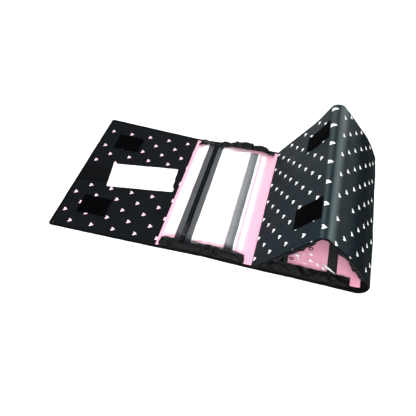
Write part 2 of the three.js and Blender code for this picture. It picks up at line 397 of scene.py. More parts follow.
CORD_SIDES = 8
ASKEW = np.array([0.31, 0.17, 0.93])


def new_piece(name, points, faces, uv, material, sharp=50):
    """A shown mesh with its normals turned outward, a UV map in metres and one material."""
    mesh = bpy.data.meshes.new(name)
    mesh.from_pydata(points.tolist(), [], faces)
    shape = bmesh.new()
    shape.from_mesh(mesh)
    bmesh.ops.recalc_face_normals(shape, faces=shape.faces)
    shape.to_mesh(mesh)
    shape.free()
    corners = np.zeros(len(mesh.loops), int)
    mesh.loops.foreach_get("vertex_index", corners)
    mesh.uv_layers.new(name="strip").data.foreach_set("uv", uv[corners].ravel())
    mesh.polygons.foreach_set("use_smooth", [True] * len(mesh.polygons))
    mesh.set_sharp_from_angle(angle=math.radians(sharp))
    mesh.materials.append(material)
    piece = bpy.data.objects.new(name, mesh)
    bpy.context.scene.collection.objects.link(piece)
    return piece


def uv_grid(along, across):
    """UV in metres of places in millimetres."""
    return np.stack(np.broadcast_arrays(along, across), -1) * MM


def run_along(points):
    """Distances along a line of points."""
    return np.concatenate([[0], np.cumsum(np.linalg.norm(np.diff(points, axis=0), axis=1))])


def grid_faces(rows, columns, first=0, wrap=False):
    """Quads of a grid of points, closed across its columns if wrap."""
    faces = []
    for i in range(rows - 1):
        for j in range(columns if wrap else columns - 1):
            a = first + i * columns + j
            b = first + i * columns + (j + 1) % columns
            faces.append([a, b, b + columns, a + columns])
    return faces


def rim_faces(rows, columns, second):
    """Quads that close the gap between the edges of two matching grids, the second starting at a point."""
    edge = list(range(columns))
    edge += [i * columns + columns - 1 for i in range(1, rows)]
    edge += [(rows - 1) * columns + j for j in range(columns - 2, -1, -1)]
    edge += [i * columns for i in range(rows - 2, 0, -1)]
    return [[a, b, second + b, second + a] for a, b in zip(edge, edge[1:] + edge[:1])]


def sheet_parts(upper, lower, uv):
    """Points, faces and UV of a closed sheet between two matching grids, with the same UV on both faces."""
    rows, columns = upper.shape[:2]
    count = rows * columns
    points = np.concatenate([upper.reshape(-1, 3), lower.reshape(-1, 3)])
    faces = grid_faces(rows, columns) + grid_faces(rows, columns, count) + rim_faces(rows, columns, count)
    return points, faces, np.concatenate([uv.reshape(-1, 2)] * 2)


def closed_sheet(name, upper, lower, uv, material, sharp=50):
    """A piece that is one closed sheet."""
    return new_piece(name, *sheet_parts(upper, lower, uv), material, sharp)


def joined(name, parts, material, sharp=50):
    """One piece from several lists of points, faces and UV."""
    points, faces, uv = [], [], []
    count = 0
    for part_points, part_faces, part_uv in parts:
        points.append(part_points)
        uv.append(part_uv)
        faces += [[n + count for n in face] for face in part_faces]
        count += len(part_points)
    return new_piece(name, np.concatenate(points), faces, np.concatenate(uv), material, sharp)


def swept(rings, along, around):
    """Points, faces and UV of a tube through rings of points, closed at both ends."""
    rows, columns = rings.shape[:2]
    faces = grid_faces(rows, columns, wrap=True)
    faces.append(list(range(columns)))
    faces.append([(rows - 1) * columns + j for j in range(columns)])
    uv = np.stack(np.broadcast_arrays(along[:, None], around), -1).reshape(-1, 2)
    return rings.reshape(-1, 3), faces, uv


def round_tube(line, radius):
    """Points, faces and UV of a round tube along a line of points in metres."""
    ahead = np.gradient(line, axis=0)
    ahead /= np.linalg.norm(ahead, axis=1, keepdims=True)
    side = np.cross(ahead, ASKEW)
    side /= np.linalg.norm(side, axis=1, keepdims=True)
    up = np.cross(side, ahead)
    turn = np.linspace(0, math.tau, CORD_SIDES, endpoint=False)
    round_it = np.cos(turn)[:, None] * side[:, None] + np.sin(turn)[:, None] * up[:, None]
    return swept(line[:, None] + radius * round_it, run_along(line), turn * radius)


# Cloth simulation

SIM_SCALE = 0.01
SIM_FRAMES = 24
CLOTH = {
    "quality": 6,
    "mass": 0.2,
    "tension_stiffness": 18,
    "compression_stiffness": 18,
    "shear_stiffness": 6,
    "vertex_group_mass": "held",
}


def crumple(points, pinned, growth, cap, bending):
    """Grid of cloth, in millimetres, that outgrows its pinned edges and buckles, moved by cap at most."""
    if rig.quick():
        return points
    scene = bpy.context.scene
    mesh = bpy.data.meshes.new("cloth")
    mesh.from_pydata((points.reshape(-1, 3) * SIM_SCALE).tolist(), [], grid_faces(*points.shape[:2]))
    cloth = bpy.data.objects.new("cloth", mesh)
    scene.collection.objects.link(cloth)
    group = cloth.vertex_groups.new(name=CLOTH["vertex_group_mass"])
    group.add(np.flatnonzero(pinned.ravel()).tolist(), 1.0, "REPLACE")
    modifier = cloth.modifiers.new("cloth", "CLOTH")
    for key, value in CLOTH.items():
        setattr(modifier.settings, key, value)
    modifier.settings.bending_stiffness = bending
    modifier.settings.shrink_min = -growth
    modifier.settings.effector_weights.gravity = 0
    modifier.collision_settings.use_collision = False
    modifier.point_cache.frame_start = 1
    modifier.point_cache.frame_end = SIM_FRAMES
    for step in range(1, SIM_FRAMES + 1):
        scene.frame_set(step)
    settled = cloth.evaluated_get(bpy.context.evaluated_depsgraph_get()).data
    moved = np.zeros(points.size)
    settled.vertices.foreach_get("co", moved)
    bpy.data.objects.remove(cloth)
    bpy.data.meshes.remove(mesh)
    scene.frame_set(1)
    shift = moved.reshape(points.shape) / SIM_SCALE - points
    size = np.linalg.norm(shift, axis=-1, keepdims=True)
    return points + shift * np.minimum(1, cap / np.maximum(size, 1e-9))


# Finishes

# Range that most of a noise lies in
NOISE_LOW = 0.3
NOISE_HIGH = 0.7
HEART_HALF_WIDTH = 3.35
HEART_HALF_LENGTH = 2.3
HEART_LIFT = 0.5
HEART_NOTCH = 1.7
HEART_EDGE = (0.88, 1.12)
# Grids of hearts: first place, step to the next column, step to the next row, spread of the rows
END_HEARTS = ((6.5, 111.8), (16.58, 1.64), (-0.1, 19.54), 0.0056)
COVER_HEARTS = ((158.3, -11.9), (16.78, -1.79), (-0.98, 20.49))
FLAP_HEARTS = ((17.8, 101.7), (18.81, 0.28), (0.32, 20.4))
FLAP_HEM = 114
BARE_ALONG = (173, 183)
BARE_ACROSS = (-82, -68)
STITCH_PITCH = 3.2
STITCH_LENGTH = 2.3
STITCH_LINE = 1.5


def linear(red, green, blue):
    """Shader colour of an sRGB colour in 0 to 255."""
    parts = [value / 255 for value in (red, green, blue)]
    return [p / 12.92 if p <= 0.04045 else ((p + 0.055) / 1.055) ** 2.4 for p in parts] + [1]


def operator(operation):
    """A method that adds a math node for a value and what stands beside it."""
    return lambda value, *others: value.finish.math(operation, value, *others)


class Value:
    """Output of a node; its operators add math nodes, and over gives the greater of two values."""

    __add__ = __radd__ = operator("ADD")
    __sub__ = operator("SUBTRACT")
    __mul__ = operator("MULTIPLY")
    __truediv__ = operator("DIVIDE")
    __lt__ = operator("LESS_THAN")
    __gt__ = operator("GREATER_THAN")
    __abs__ = operator("ABSOLUTE")
    over = operator("MAXIMUM")

    def __init__(self, finish, socket):
        self.finish = finish
        self.socket = socket

    def __rsub__(self, other):
        return self.finish.math("SUBTRACT", other, self)


class Finish:
    """A node material: a principled shader with helpers that add and link nodes."""

    def __init__(self, name, specular=0.5, **sockets):
        self.material = bpy.data.materials.new(name)
        self.material.use_nodes = True
        self.tree = self.material.node_tree
        self.shader = self.tree.nodes["Principled BSDF"]
        self.give("Specular IOR Level", specular)
        for socket, value in sockets.items():
            self.give(socket.replace("_", " "), value)
        self.uv = self.value("ShaderNodeUVMap", uv_map="strip")

    def put(self, socket, value):
        """Link a value to a node's input, or set it."""
        if isinstance(value, Value):
            self.tree.links.new(value.socket, socket)
        else:
            socket.default_value = value

    def give(self, socket, value):
        """Link or set one of the shader's inputs."""
        self.put(self.shader.inputs[socket], value)

    def node(self, kind, inputs=(), **settings):
        """A new node with its settings, and with its inputs by name or number."""
        node = self.tree.nodes.new(kind)
        for key, value in settings.items():
            setattr(node, key, value)
        for key, value in dict(inputs).items():
            self.put(node.inputs[key], value)
        return node

    def value(self, kind, inputs=(), output=0, **settings):
        """One output of a new node."""
        return Value(self, self.node(kind, inputs, **settings).outputs[output])

    def math(self, operation, *values):
        return self.value("ShaderNodeMath", enumerate(values), operation=operation)

    def axes(self):
        """UV coordinates in millimetres, along and across."""
        split = self.node("ShaderNodeSeparateXYZ", {0: self.uv})
        return [Value(self, split.outputs[n]) * (1 / MM) for n in (0, 1)]

    def stretched(self, along, across):
        """UV coordinates scaled to waves per metre on each axis."""
        return self.value("ShaderNodeVectorMath", {0: self.uv, 1: (along, across, 1)}, operation="MULTIPLY")

    def noise(self, along, across, detail=3.0, rough=0.55):
        """Noise with so many waves per metre along and across."""
        inputs = {"Vector": self.stretched(along, across), "Scale": 1.0, "Detail": detail, "Roughness": rough}
        return self.value("ShaderNodeTexNoise", inputs, "Fac")

    def cells(self, density):
        """Distance to the nearest of scattered points, so many per metre."""
        inputs = {"Vector": self.stretched(density, density), "Scale": 1.0}
        return self.value("ShaderNodeTexVoronoi", inputs, "Distance")

    def wave(self, coordinate, pitch):
        """Sine wave between 0 and 1 with a pitch in millimetres."""
        return self.math("SINE", coordinate * (math.tau / pitch)) * 0.5 + 0.5

    def span(self, value, low, high, at_low, at_high):
        """Smooth change from one value at low to another at high."""
        inputs = enumerate((value, low, high, at_low, at_high))
        return self.value("ShaderNodeMapRange", inputs, interpolation_type="SMOOTHSTEP")

    def band(self, value, low, high, soft):
        """1 between low and high, fading over soft on either side."""
        enter = self.span(value, low - soft, low + soft, 0.0, 1.0)
        return enter * self.span(value, high - soft, high + soft, 1.0, 0.0)

    def ramp(self, value, stops):
        """Grey value along a list of places and values."""
        node = self.node("ShaderNodeValToRGB", {0: value})
        points = node.color_ramp.elements
        while len(points) < len(stops):
            points.new(0.5)
        for point, (position, grey) in zip(points, stops):
            point.position = position
            point.color = (grey, grey, grey, 1)
        return Value(self, node.outputs[0])

    def mix(self, factor, a, b):
        """Mix of two colours, each a value or an sRGB colour."""
        a, b = (part if isinstance(part, Value) else linear(*part) for part in (a, b))
        return self.value("ShaderNodeMix", {"Factor": factor, 6: a, 7: b}, 2, data_type="RGBA")

    def colour(self, factor, a, b):
        self.give("Base Color", self.mix(factor, a, b))

    def rough(self, value, at_low, at_high, low=NOISE_LOW, high=NOISE_HIGH):
        self.give("Roughness", self.span(value, low, high, at_low, at_high))

    def relief(self, *heights):
        """Bump from pairs of a height and its depth in millimetres."""
        total = sum(height * depth for height, depth in heights)
        inputs = {"Strength": 1.0, "Distance": MM, "Height": total}
        self.give("Normal", self.value("ShaderNodeBump", inputs))

    def weave(self, pitch):
        """Plain weave of crossing threads."""
        over, under = (self.wave(axis, pitch) for axis in self.axes())
        return abs(over - under)

    def hearts(self, along, across, first, column, row, spread=0.0):
        """1 on small hearts in a half-drop repeat on a slightly slanting grid, and the grid's columns.

        The hearts' tips point along the strip. The rows spread by a share with each column."""
        ahead, aside = along - first[0], across - first[1]
        area = column[0] * row[1] - column[1] * row[0]
        columns = ahead * (row[1] / area) - aside * (row[0] / area)
        rows = aside * (column[0] / area) - ahead * (column[1] / area)
        rows = rows / (columns * spread + 1.0)
        marks = []
        for half in (0, 0.5):
            down, side = (
                (self.math("FRACT", count * 0.5 + (0.5 - half)) - 0.5) * (2 * step)
                for count, step in ((columns, column[0]), (rows, row[1]))
            )
            wide = abs(side / HEART_HALF_WIDTH)
            tall = down * (-1 / HEART_HALF_LENGTH) + HEART_LIFT
            offset = tall - self.math("SQRT", wide) * HEART_NOTCH
            marks.append(self.span(wide * wide + offset * offset, *HEART_EDGE, 1.0, 0.0))
        return marks[0].over(marks[1]), columns


def printed_cloth():
    """Dark satin with white hearts, with painted highlights along the ridge's creases, and darker with painted shade
    and duller toward the spine.

    Places are counted from the end panel's foot."""
    finish = Finish("printed satin")
    along, across = finish.axes()
    left, right, middle = AT_END - AT_LEFT_CREASE, AT_END - AT_RIGHT_CREASE, AT_END - MID_COVER
    finish.give("Specular IOR Level", finish.span(along, right + 15, middle, 0.05, 0.002))
    bare = finish.band(along, *BARE_ALONG, 0.5) * finish.band(across, *BARE_ACROSS, 0.5)
    end_hearts, _ = finish.hearts(along, across, *END_HEARTS)
    cover_hearts, columns = finish.hearts(along, across, *COVER_HEARTS)
    marks = (end_hearts * (along < right)).over(cover_hearts * (columns > -0.5))
    cloud = finish.noise(25, 25)
    even = finish.mix(cloud, (11, 18, 23), (23, 36, 40))
    # Painted shade: the ground darkens toward the spine
    ground = finish.mix(finish.span(along, right + 35, middle + 20, 0.0, 0.6), even, (4, 8, 9))
    # Painted highlights along the ridge's two creases, the right one fading toward the cover
    left_crease_highlight = finish.band(along, left - 0.6, left + 0.6, 3.2) * 0.42
    rising = finish.span(along, right - 4, right + 2, 0.0, 0.55)
    right_crease_highlight = rising * finish.span(along, right + 2, right + 19, 1.0, 0.0)
    painted_crease_highlight = finish.mix(left_crease_highlight.over(right_crease_highlight), ground, (98, 111, 112))
    finish.colour(marks * (1.0 - bare), painted_crease_highlight, (252, 249, 250))
    finish.rough(cloud, 0.48, 0.62)
    finish.relief((finish.weave(0.7), 0.05), (finish.noise(60, 60), 0.25))
    return finish.material


def flap_satin():
    """Near-black satin with pale pink hearts, for the flap's inner side."""
    finish = Finish("flap satin", 0.05)
    along, across = finish.axes()
    hearts, _ = finish.hearts(along, across, *FLAP_HEARTS)
    cloud = finish.noise(18, 18)
    ground = finish.mix(cloud, (3, 5, 6), (13, 17, 21))
    hem = finish.band(across, FLAP_HEM - 0.4, FLAP_HEM + 0.4, 0.5)
    seamed = finish.mix(hem, ground, (1, 1, 2))
    finish.colour(hearts * (across < FLAP_HEM), seamed, (250, 206, 222))
    finish.rough(cloud, 0.45, 0.6)
    finish.relief((finish.weave(0.7), 0.05), (finish.noise(50, 50), 0.2), (hem, -0.4))
    return finish.material


def pink_satin():
    """Pale pink lining with faint streaks across the strip."""
    finish = Finish("pink satin")
    streak = finish.noise(160, 14)
    tone = finish.mix(streak, (205, 140, 163), (222, 160, 180))
    finish.colour(finish.noise(30, 30), tone, (212, 150, 172))
    finish.rough(streak, 0.4, 0.6)
    finish.relief((finish.weave(0.6), 0.05), (finish.noise(90, 20), 0.3))
    return finish.material


def edge_tape():
    """Black ribbed binding tape with a row of stitches near its inner edge."""
    finish = Finish("binding tape", 0.03)
    along, across = finish.axes()
    beat = finish.math("FRACT", along / STITCH_PITCH)
    dash = finish.band(beat, 0.12, STITCH_LENGTH / STITCH_PITCH, 0.06)
    thread = dash * finish.band(across, STITCH_LINE - 0.3, STITCH_LINE + 0.3, 0.12)
    wear = finish.noise(120, 120)
    ground = finish.mix(wear, (2, 3, 4), (9, 11, 13))
    finish.colour(thread, ground, (22, 24, 27))
    finish.rough(wear, 0.5, 0.68)
    finish.relief((finish.wave(along, 0.9), 0.08), (thread, 0.25), (finish.noise(140, 140), 0.25))
    return finish.material


def pile():
    """Matt black hook-and-loop pile."""
    finish = Finish("hook and loop pile", 0.01)
    fuzz = finish.noise(900, 900, 2.0)
    finish.colour(fuzz, (0, 0, 1), (6, 6, 7))
    finish.rough(fuzz, 0.85, 0.98)
    finish.relief((finish.cells(1100), 0.5), (fuzz, 0.4))
    return finish.material


def ribbed_web():
    """Black webbing with ribs along it and a fine cross weave."""
    finish = Finish("ribbed webbing", 0.04)
    along, across = finish.axes()
    rib = finish.wave(across, 2.4)
    cross = finish.wave(along + rib * 0.6, 1.2)
    finish.colour(rib, (2, 2, 4), (9, 10, 13))
    finish.rough(cross, 0.52, 0.66, 0.0, 1.0)
    finish.relief((rib, 0.22), (cross, 0.12), (finish.noise(300, 300), 0.1))
    return finish.material


def paper():
    """White paper with faint fibres and soft creases."""
    finish = Finish("white paper")
    fibre = finish.noise(400, 900, 4.0)
    finish.colour(fibre, (226, 228, 231), (242, 243, 245))
    finish.rough(fibre, 0.62, 0.8)
    finish.relief((finish.noise(28, 28, 2.0), 0.7), (fibre, 0.06))
    return finish.material


def gusset_cloth():
    """Thin black coated cloth, finely creased."""
    finish = Finish("gusset cloth", 0.1)
    crease = finish.noise(130, 170, 5.0, 0.6)
    finish.colour(crease, (2, 3, 4), (11, 13, 16))
    finish.rough(crease, 0.38, 0.55)
    finish.relief((crease, 1.3), (finish.weave(0.6), 0.04))
    return finish.material


def woven_tape():
    """Dark zip tape with a herringbone of lighter threads."""
    finish = Finish("zip tape weave", 0.05)
    along, across = finish.axes()
    lean = across + finish.wave(along, 4.0) * 1.6
    thread = finish.wave(lean, 1.6) * finish.wave(along, 1.0)
    woven = finish.mix(thread * finish.noise(500, 220), (7, 8, 10), (54, 58, 63))
    finish.colour(finish.band(along, ZIP_PLACE - 4.0, ZIP_PLACE + 4.0, 0.6), woven, (3, 4, 5))
    finish.rough(thread, 0.55, 0.7, 0.0, 1.0)
    finish.relief((thread, 0.15), (finish.noise(400, 400), 0.1))
    return finish.material


def coil():
    """Black moulded zip teeth."""
    finish = Finish("zip teeth", 0.03)
    grain = finish.noise(700, 700)
    finish.colour(grain, (8, 9, 12), (20, 22, 27))
    finish.rough(grain, 0.34, 0.5)
    finish.relief((grain, 0.05))
    return finish.material


def painted_metal():
    """Black enamelled metal, worn to grey in small marks."""
    finish = Finish("zip enamel", Metallic=0.6, Coat_Weight=0.3)
    worn = finish.noise(350, 350, 5.0, 0.7)
    finish.colour(finish.span(worn, 0.6, 0.72, 0.0, 1.0), (24, 25, 28), (96, 98, 102))
    finish.rough(worn, 0.3, 0.48)
    finish.relief((worn, 0.06))
    return finish.material


def pale_floor():
    """Plain pale studio floor."""
    finish = Finish("studio floor", 0.0, Roughness=0.9)
    finish.colour(finish.noise(6, 6), (247, 247, 247), (250, 250, 250))
    return finish.material


# Places on a pouch: its zip from the start, its hook strip from the end
ZIP_PLACE = 35.5
HOOK_FROM_END = 31
# Painted glints on creases near the second pouch's near edge: place along and across, half length, half width, turn
PAINTED_GLINTS = (
    (108.1, -110.6, 15.5, 2.3, -29), (104.5, -107.2, 9.5, 1.0, -40), (58.6, -100.2, 6.0, 2.2, 15),
    (61.5, -105.5, 3.0, 1.0, -50), (78.9, -93.0, 4.2, 1.7, -31), (80.0, -104.8, 5.6, 1.6, -32),
    (71.6, -110.2, 3.0, 1.4, -18), (90.4, -108.2, 4.2, 1.7, -55), (99.6, -112.8, 3.4, 1.3, -45),
    (68.0, -97.0, 3.6, 0.9, -20),
)
PAINTED_GLINT_WHITE = 0.8
LEAST_HAZE = 0.004
# The first pouch's vinyl haze, a painted white glare, at places along the pouch, as shares of its length
PAINTED_GLARE_HAZE = (
    (0.0, 0.05), (0.008, 0.12), (0.022, 0.55), (0.045, 0.4), (0.065, 0.62), (0.15, 0.64), (0.158, 0.028),
    (0.352, 0.034), (0.36, 0.66), (0.705, 0.64), (0.735, 0.1), (0.775, 0.095), (0.805, 0.06), (0.828, 0.05),
    (0.836, 0.6), (0.85, 0.5), (0.862, 0.1), (0.88, 0.1), (0.892, 0.45), (0.925, 0.4), (0.952, 0.12),
    (0.97, 0.04), (1.0, 0.04),
)
CLEAR = ((0.0, 0.006), (0.3, 0.008), (0.6, 0.005), (1.0, 0.006))
BACK_CLEAR = ((0.0, 0.006), (0.5, 0.004), (1.0, 0.006))


def creased(finish, along, across, marks):
    """1 on slanting creases with uneven edges, where glints are painted."""
    waver = finish.span(finish.noise(140, 140, 2.0), NOISE_LOW, NOISE_HIGH, -1.1, 1.1)
    total = 0.0
    for at_along, at_across, reach, half, degrees in marks:
        cosine, sine = math.cos(math.radians(degrees)), math.sin(math.radians(degrees))
        right, up = along - at_along, across - at_across
        ahead = abs(right * cosine + up * sine)
        aside = abs(up * cosine - right * sine + waver)
        narrowed = ahead * (half / reach) + aside
        total = finish.span(narrowed, half * 0.55, half * 1.15, 1.0, 0.0).over(total)
    return total


def vinyl(name, haze, streak_depth, length, creases=()):
    """Clear soft vinyl whose haze follows a list of places along the pouch, with streaks across it.

    Painted glints whiten it on its creases, a high haze is a painted white glare, and its haze thins towards its two
    ends."""
    finish = Finish(name, 0.3)
    along, across = finish.axes()
    streak = finish.noise(110, 12)
    change = streak * streak_depth + (1 - streak_depth / 2)
    rim = finish.span(abs(across), 101, 115, 0.0, 0.93)
    thin = rim * finish.span(finish.noise(45, 70), 0.3, 0.5, 0.3, 1.0)
    # Where the haze is high it is a painted white glare
    haze_and_painted_glare = finish.ramp(along / length, haze) * (1.0 - thin) * change
    # Painted glints, white where the vinyl's creases catch light
    painted_glint_marks = creased(finish, along, across, creases) * PAINTED_GLINT_WHITE
    finish.give("Alpha", haze_and_painted_glare.over(painted_glint_marks).over(LEAST_HAZE))
    finish.colour(streak, (238, 246, 253), (250, 254, 255))
    finish.rough(streak, 0.1, 0.24)
    finish.relief((finish.noise(45, 20), 0.9), (finish.noise(160, 60), 0.25))
    return finish.material


PRINTED = printed_cloth()
FLAP_SATIN = flap_satin()
PINK = pink_satin()
TAPE = edge_tape()
PILE = pile()
WEB = ribbed_web()
PAPER = paper()
GUSSET = gusset_cloth()
ZIP_TAPE = woven_tape()
COIL = coil()
METAL = painted_metal()

# Panels


def dress(piece, slot, *nodes, body=None):
    """Record a piece's slot, the CAD nodes that it stands for and the body that carries it."""
    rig.slot(piece, slot)
    if nodes:
        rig.replaces(piece, *nodes)
    if body:
        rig.ride(piece, body)
    return piece


def bend_with(piece, stretch):
    """Let a piece bend at its stretch's joint."""
    _, bend, _, body, other = STRETCHES[stretch]
    low, high = LONG_BENDS.get(stretch, (bend - BEND_REACH, bend + BEND_REACH))
    start, end = (place(along, 0, LINING_TOP / 2).tolist() for along in (low, high))
    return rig.blend(piece, body, other, start, end)


def swell(along, across):
    """How far the outer cloth stands out on the raised panels and rolls over the ridge's creases."""
    raised = rise(along, AT_SPINE_IN, AT_SPINE_OUT)
    uneven = 1 - SWELL_UNEVEN + SWELL_UNEVEN * ripples(along, across, 3, 150, 45)
    creases = (AT_RIGHT_CREASE, AT_LEFT_CREASE)
    rolls = sum(bump(along, crease - ROLL_HALF, crease + ROLL_HALF) for crease in creases)
    puff = SWELL * raised * uneven + CREASE_ROLL * rolls
    return puff * (1 - (np.abs(across) / HALF_WIDTH) ** SWELL_EDGE_POWER)


def outer_face(along, across):
    """Height of the outer cloth's outer face over the outer skin."""
    return -swell(along, across)


def lining_face(along, across):
    """Height of the lining's upper face over the outer skin."""
    return LINING_TOP - LINING_DIP + LINING_WAVE * ripples(along, across, 8, 120, 28)


def outer_heights(along, across):
    """Lower and upper face of the outer cloth."""
    return outer_face(along, across) - SKIN_OVER_TAPE, SHELL


def lining_heights(along, across):
    """Lower and upper face of the lining."""
    return LINING_UNDER, lining_face(along, across)


def panel_grid(start, stop, wider):
    """Places of a panel's points, drawn in at the strip's free corners and wider where it is raised."""
    margin = HALF_WIDTH - PANEL_REACH
    along = np.clip(stations(start, stop), margin, AT_END - margin)
    inset = np.minimum(along, AT_END - along) - margin
    short = np.clip(TAPE_CORNER - inset, 0, TAPE_CORNER)
    reach = PANEL_REACH - TAPE_CORNER + np.sqrt(TAPE_CORNER**2 - short**2)
    reach = reach + wider * rise(along, AT_SPINE_IN, AT_SPINE_IN + SPINE_EASE)
    return np.broadcast_arrays(along[:, None], np.linspace(-1, 1, PANEL_COLUMNS) * reach[:, None])


def cloth_panel(name, stretch, cut, heights, look, nodes, laid, from_end=False, wider=0.0):
    """A closed sheet of cloth over a cut of the strip, bending at its stretch's joint."""
    along, across = panel_grid(*cut, wider)
    low, high = heights(along, across)
    upper = place(along, across, high)
    uv = np.stack([(AT_END - along if from_end else along) * MM, upper[..., 1]], -1)
    material, slot = look
    piece = closed_sheet(name, upper, place(along, across, low), uv, material)
    bend_with(dress(piece, slot, *nodes), stretch)
    held, under = laid
    flat = (2 * PANEL_REACH * MM, (cut[1] - cut[0]) * MM)
    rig.sheet(piece, flat=flat, held=held, rests_on=[under])


# CAD nodes of the outer cloth, where a stretch has more or other ones than its shell
OUTER_NODES = {"spine": ["spine_strip"], "end_panel": ["ridge_strip", "end_panel_shell"]}
AT_SPINE_DARK = AT_SPINE_IN + SPINE_EASE
# Pieces of the lining: name, stretch, start and stop along the strip, and CAD nodes
LINING_CUTS = [
    ("flap_inner_satin", "flap", (0, AT_FLAP_FOLD), ["flap_lining"]),
    ("first_panel_pink_left", "flap", (AT_FLAP_FOLD, MID_FIRST), []),
    ("first_panel_pink_right", "first_panel", (MID_FIRST, MID_SECOND), ["first_panel_lining"]),
    ("second_panel_pink", "second_panel", (MID_SECOND, AT_SPINE_DARK), ["second_panel_lining"]),
    # The spine's black facing: dark cloth lines the spine, and its black is also painted shade inside it
    ("spine_facing_low", "second_panel", (AT_SPINE_DARK, MID_SPINE), []),
    ("spine_facing_high", "spine", (MID_SPINE, AT_SPINE_OUT), []),
    ("cover_pink_low", "spine", (AT_SPINE_OUT, MID_COVER), []),
    ("cover_pink", "cover", (MID_COVER, MID_RIDGE), ["cover_lining"]),
    ("end_panel_pink", "end_panel", (MID_RIDGE, AT_END), ["end_panel_lining"]),
]


def outer_skin():
    """The printed outer cloth, one piece for each joint that it bends at."""
    look = (PRINTED, "outer_cloth")
    laid = ("folded", "floor")
    for stretch, (start, _, stop, _, _) in STRETCHES.items():
        name = f"{stretch}_outer_cloth"
        nodes = OUTER_NODES.get(stretch, [f"{stretch}_shell"])
        cloth_panel(name, stretch, (start, stop), outer_heights, look, nodes, laid, True, SKIN_WIDER)


def inner_lining():
    """The lining: dark satin on the flap, black facing inside the spine, its black partly painted shade there, and
    pink on the rest.
    """
    looks = {"flap": (FLAP_SATIN, "dark_lining"), "spine": (GUSSET, "gusset_cloth")}
    for name, stretch, cut, nodes in LINING_CUTS:
        look = looks.get(name.split("_")[0], (PINK, "pink_lining"))
        laid = ("stretched", f"{stretch}_outer_cloth")
        cloth_panel(name, stretch, cut, lining_heights, look, nodes, laid)


# Binding tape round the edges

# Points round the tape: outward from the edge, and height
TAPE_SECTION = np.array([
    (-4.7, 2.75), (-4.4, 3.15), (-3.0, 3.3), (-1.3, 3.25), (-0.3, 2.8), (0.1, 1.65),
    (-0.3, 0.5), (-1.3, 0.06), (-3.0, 0.02), (-4.4, 0.06), (-4.7, 0.4),
])
TAPE_SPREAD = 0.9
SPREAD_RISE = (AT_SPINE_IN - 28, AT_SPINE_IN - 8)
SPREAD_FALL = (AT_SPINE_OUT - 6, AT_SPINE_OUT + 8)
TAPE_WAVER = 0.22
TAPE_LIFT = 0.12
CORNER_STEPS = 7
CROSS_STEPS = 66


def side_route(start, stop, side):
    """Edge places and outward directions along one side of the strip."""
    along = stations(start, stop)
    still = np.zeros_like(along)
    return along, still + side * HALF_WIDTH, still, still + side


def end_route(inner, edge):
    """Edge places and outward directions down one side, across a free end and back up the other."""
    out = np.sign(edge - inner)
    turn_at = edge - out * TAPE_CORNER
    centre = TAPE_CORNER - HALF_WIDTH
    run = stations(*sorted((inner, turn_at)))
    near = [(along, -HALF_WIDTH, 0, -1) for along in (run if out > 0 else run[::-1])]
    for angle in np.linspace(0, math.pi / 2, CORNER_STEPS)[1:-1]:
        ahead, aside = out * math.sin(angle), -math.cos(angle)
        near.append((turn_at + TAPE_CORNER * ahead, centre + TAPE_CORNER * aside, ahead, aside))
    middle = [(edge, across, out, 0) for across in np.linspace(centre, -centre, CROSS_STEPS)]
    far = [(along, -across, ahead, -aside) for along, across, ahead, aside in reversed(near)]
    return np.array(near + middle + far).T


def tape_piece(name, route, stretch, *nodes):
    """Rounded tape that wraps the edge along a route, wider on its inner face by the spine."""
    along, across, ahead, aside = route
    outward, upward = TAPE_SECTION.T
    by_spine = rise(along, *SPREAD_RISE) * (1 - rise(along, *SPREAD_FALL))
    inner_face = (upward > 2) & (outward < -1)
    spread = 1 + TAPE_SPREAD * by_spine[:, None] * inner_face
    out = outward * spread + TAPE_WAVER * ripples(along, across, 21, 60, 14)[:, None]
    lift = TAPE_LIFT * (1 + ripples(along, across, 22, 50, 12))
    height = upward + lift[:, None] * (upward > 1)
    rings = place(along[:, None] + ahead[:, None] * out, across[:, None] + aside[:, None] * out, height)
    parts = swept(rings, run_along(rings.mean(axis=1)), run_along(TAPE_SECTION) * MM)
    bend_with(dress(new_piece(name, *parts, TAPE, 60), "binding_tape", *nodes), stretch)


def bindings():
    """Tape round the flap and the end panel, and along both sides of what lies between."""
    tape_piece("flap_edge_tape", end_route(MID_FIRST, 0), "flap", "flap_binding")
    tape_piece("end_panel_edge_tape", end_route(MID_RIDGE, AT_END), "end_panel", "end_panel_binding")
    for stretch in ("first_panel", "second_panel", "spine", "cover"):
        start, _, stop, _, _ = STRETCHES[stretch]
        for side, word in SIDES:
            node = f"{stretch}_binding_{word}"
            known = [node] if node in frame["nodes"] else []
            tape_piece(f"{stretch}_edge_tape_{word}", side_route(start, stop, side), stretch, *known)


# Hook-and-loop patches

PATCH_LENGTH = 50
PATCH_HALF = 19
PATCH_PILE = 1.5
PATCH_SUNK = 0.15
PATCH_RAGGED = 0.25
PATCH_EDGE = 0.45
PATCH_PRESSED = 0.35
PRESSED_FROM = 1.2
PRESSED_TO = 3.6
PATCH_ROWS = 52
PATCH_COLUMNS = 40
PATCH_SIDE = 80
FLAP_PATCH_START = 33
END_PATCH_START = 4


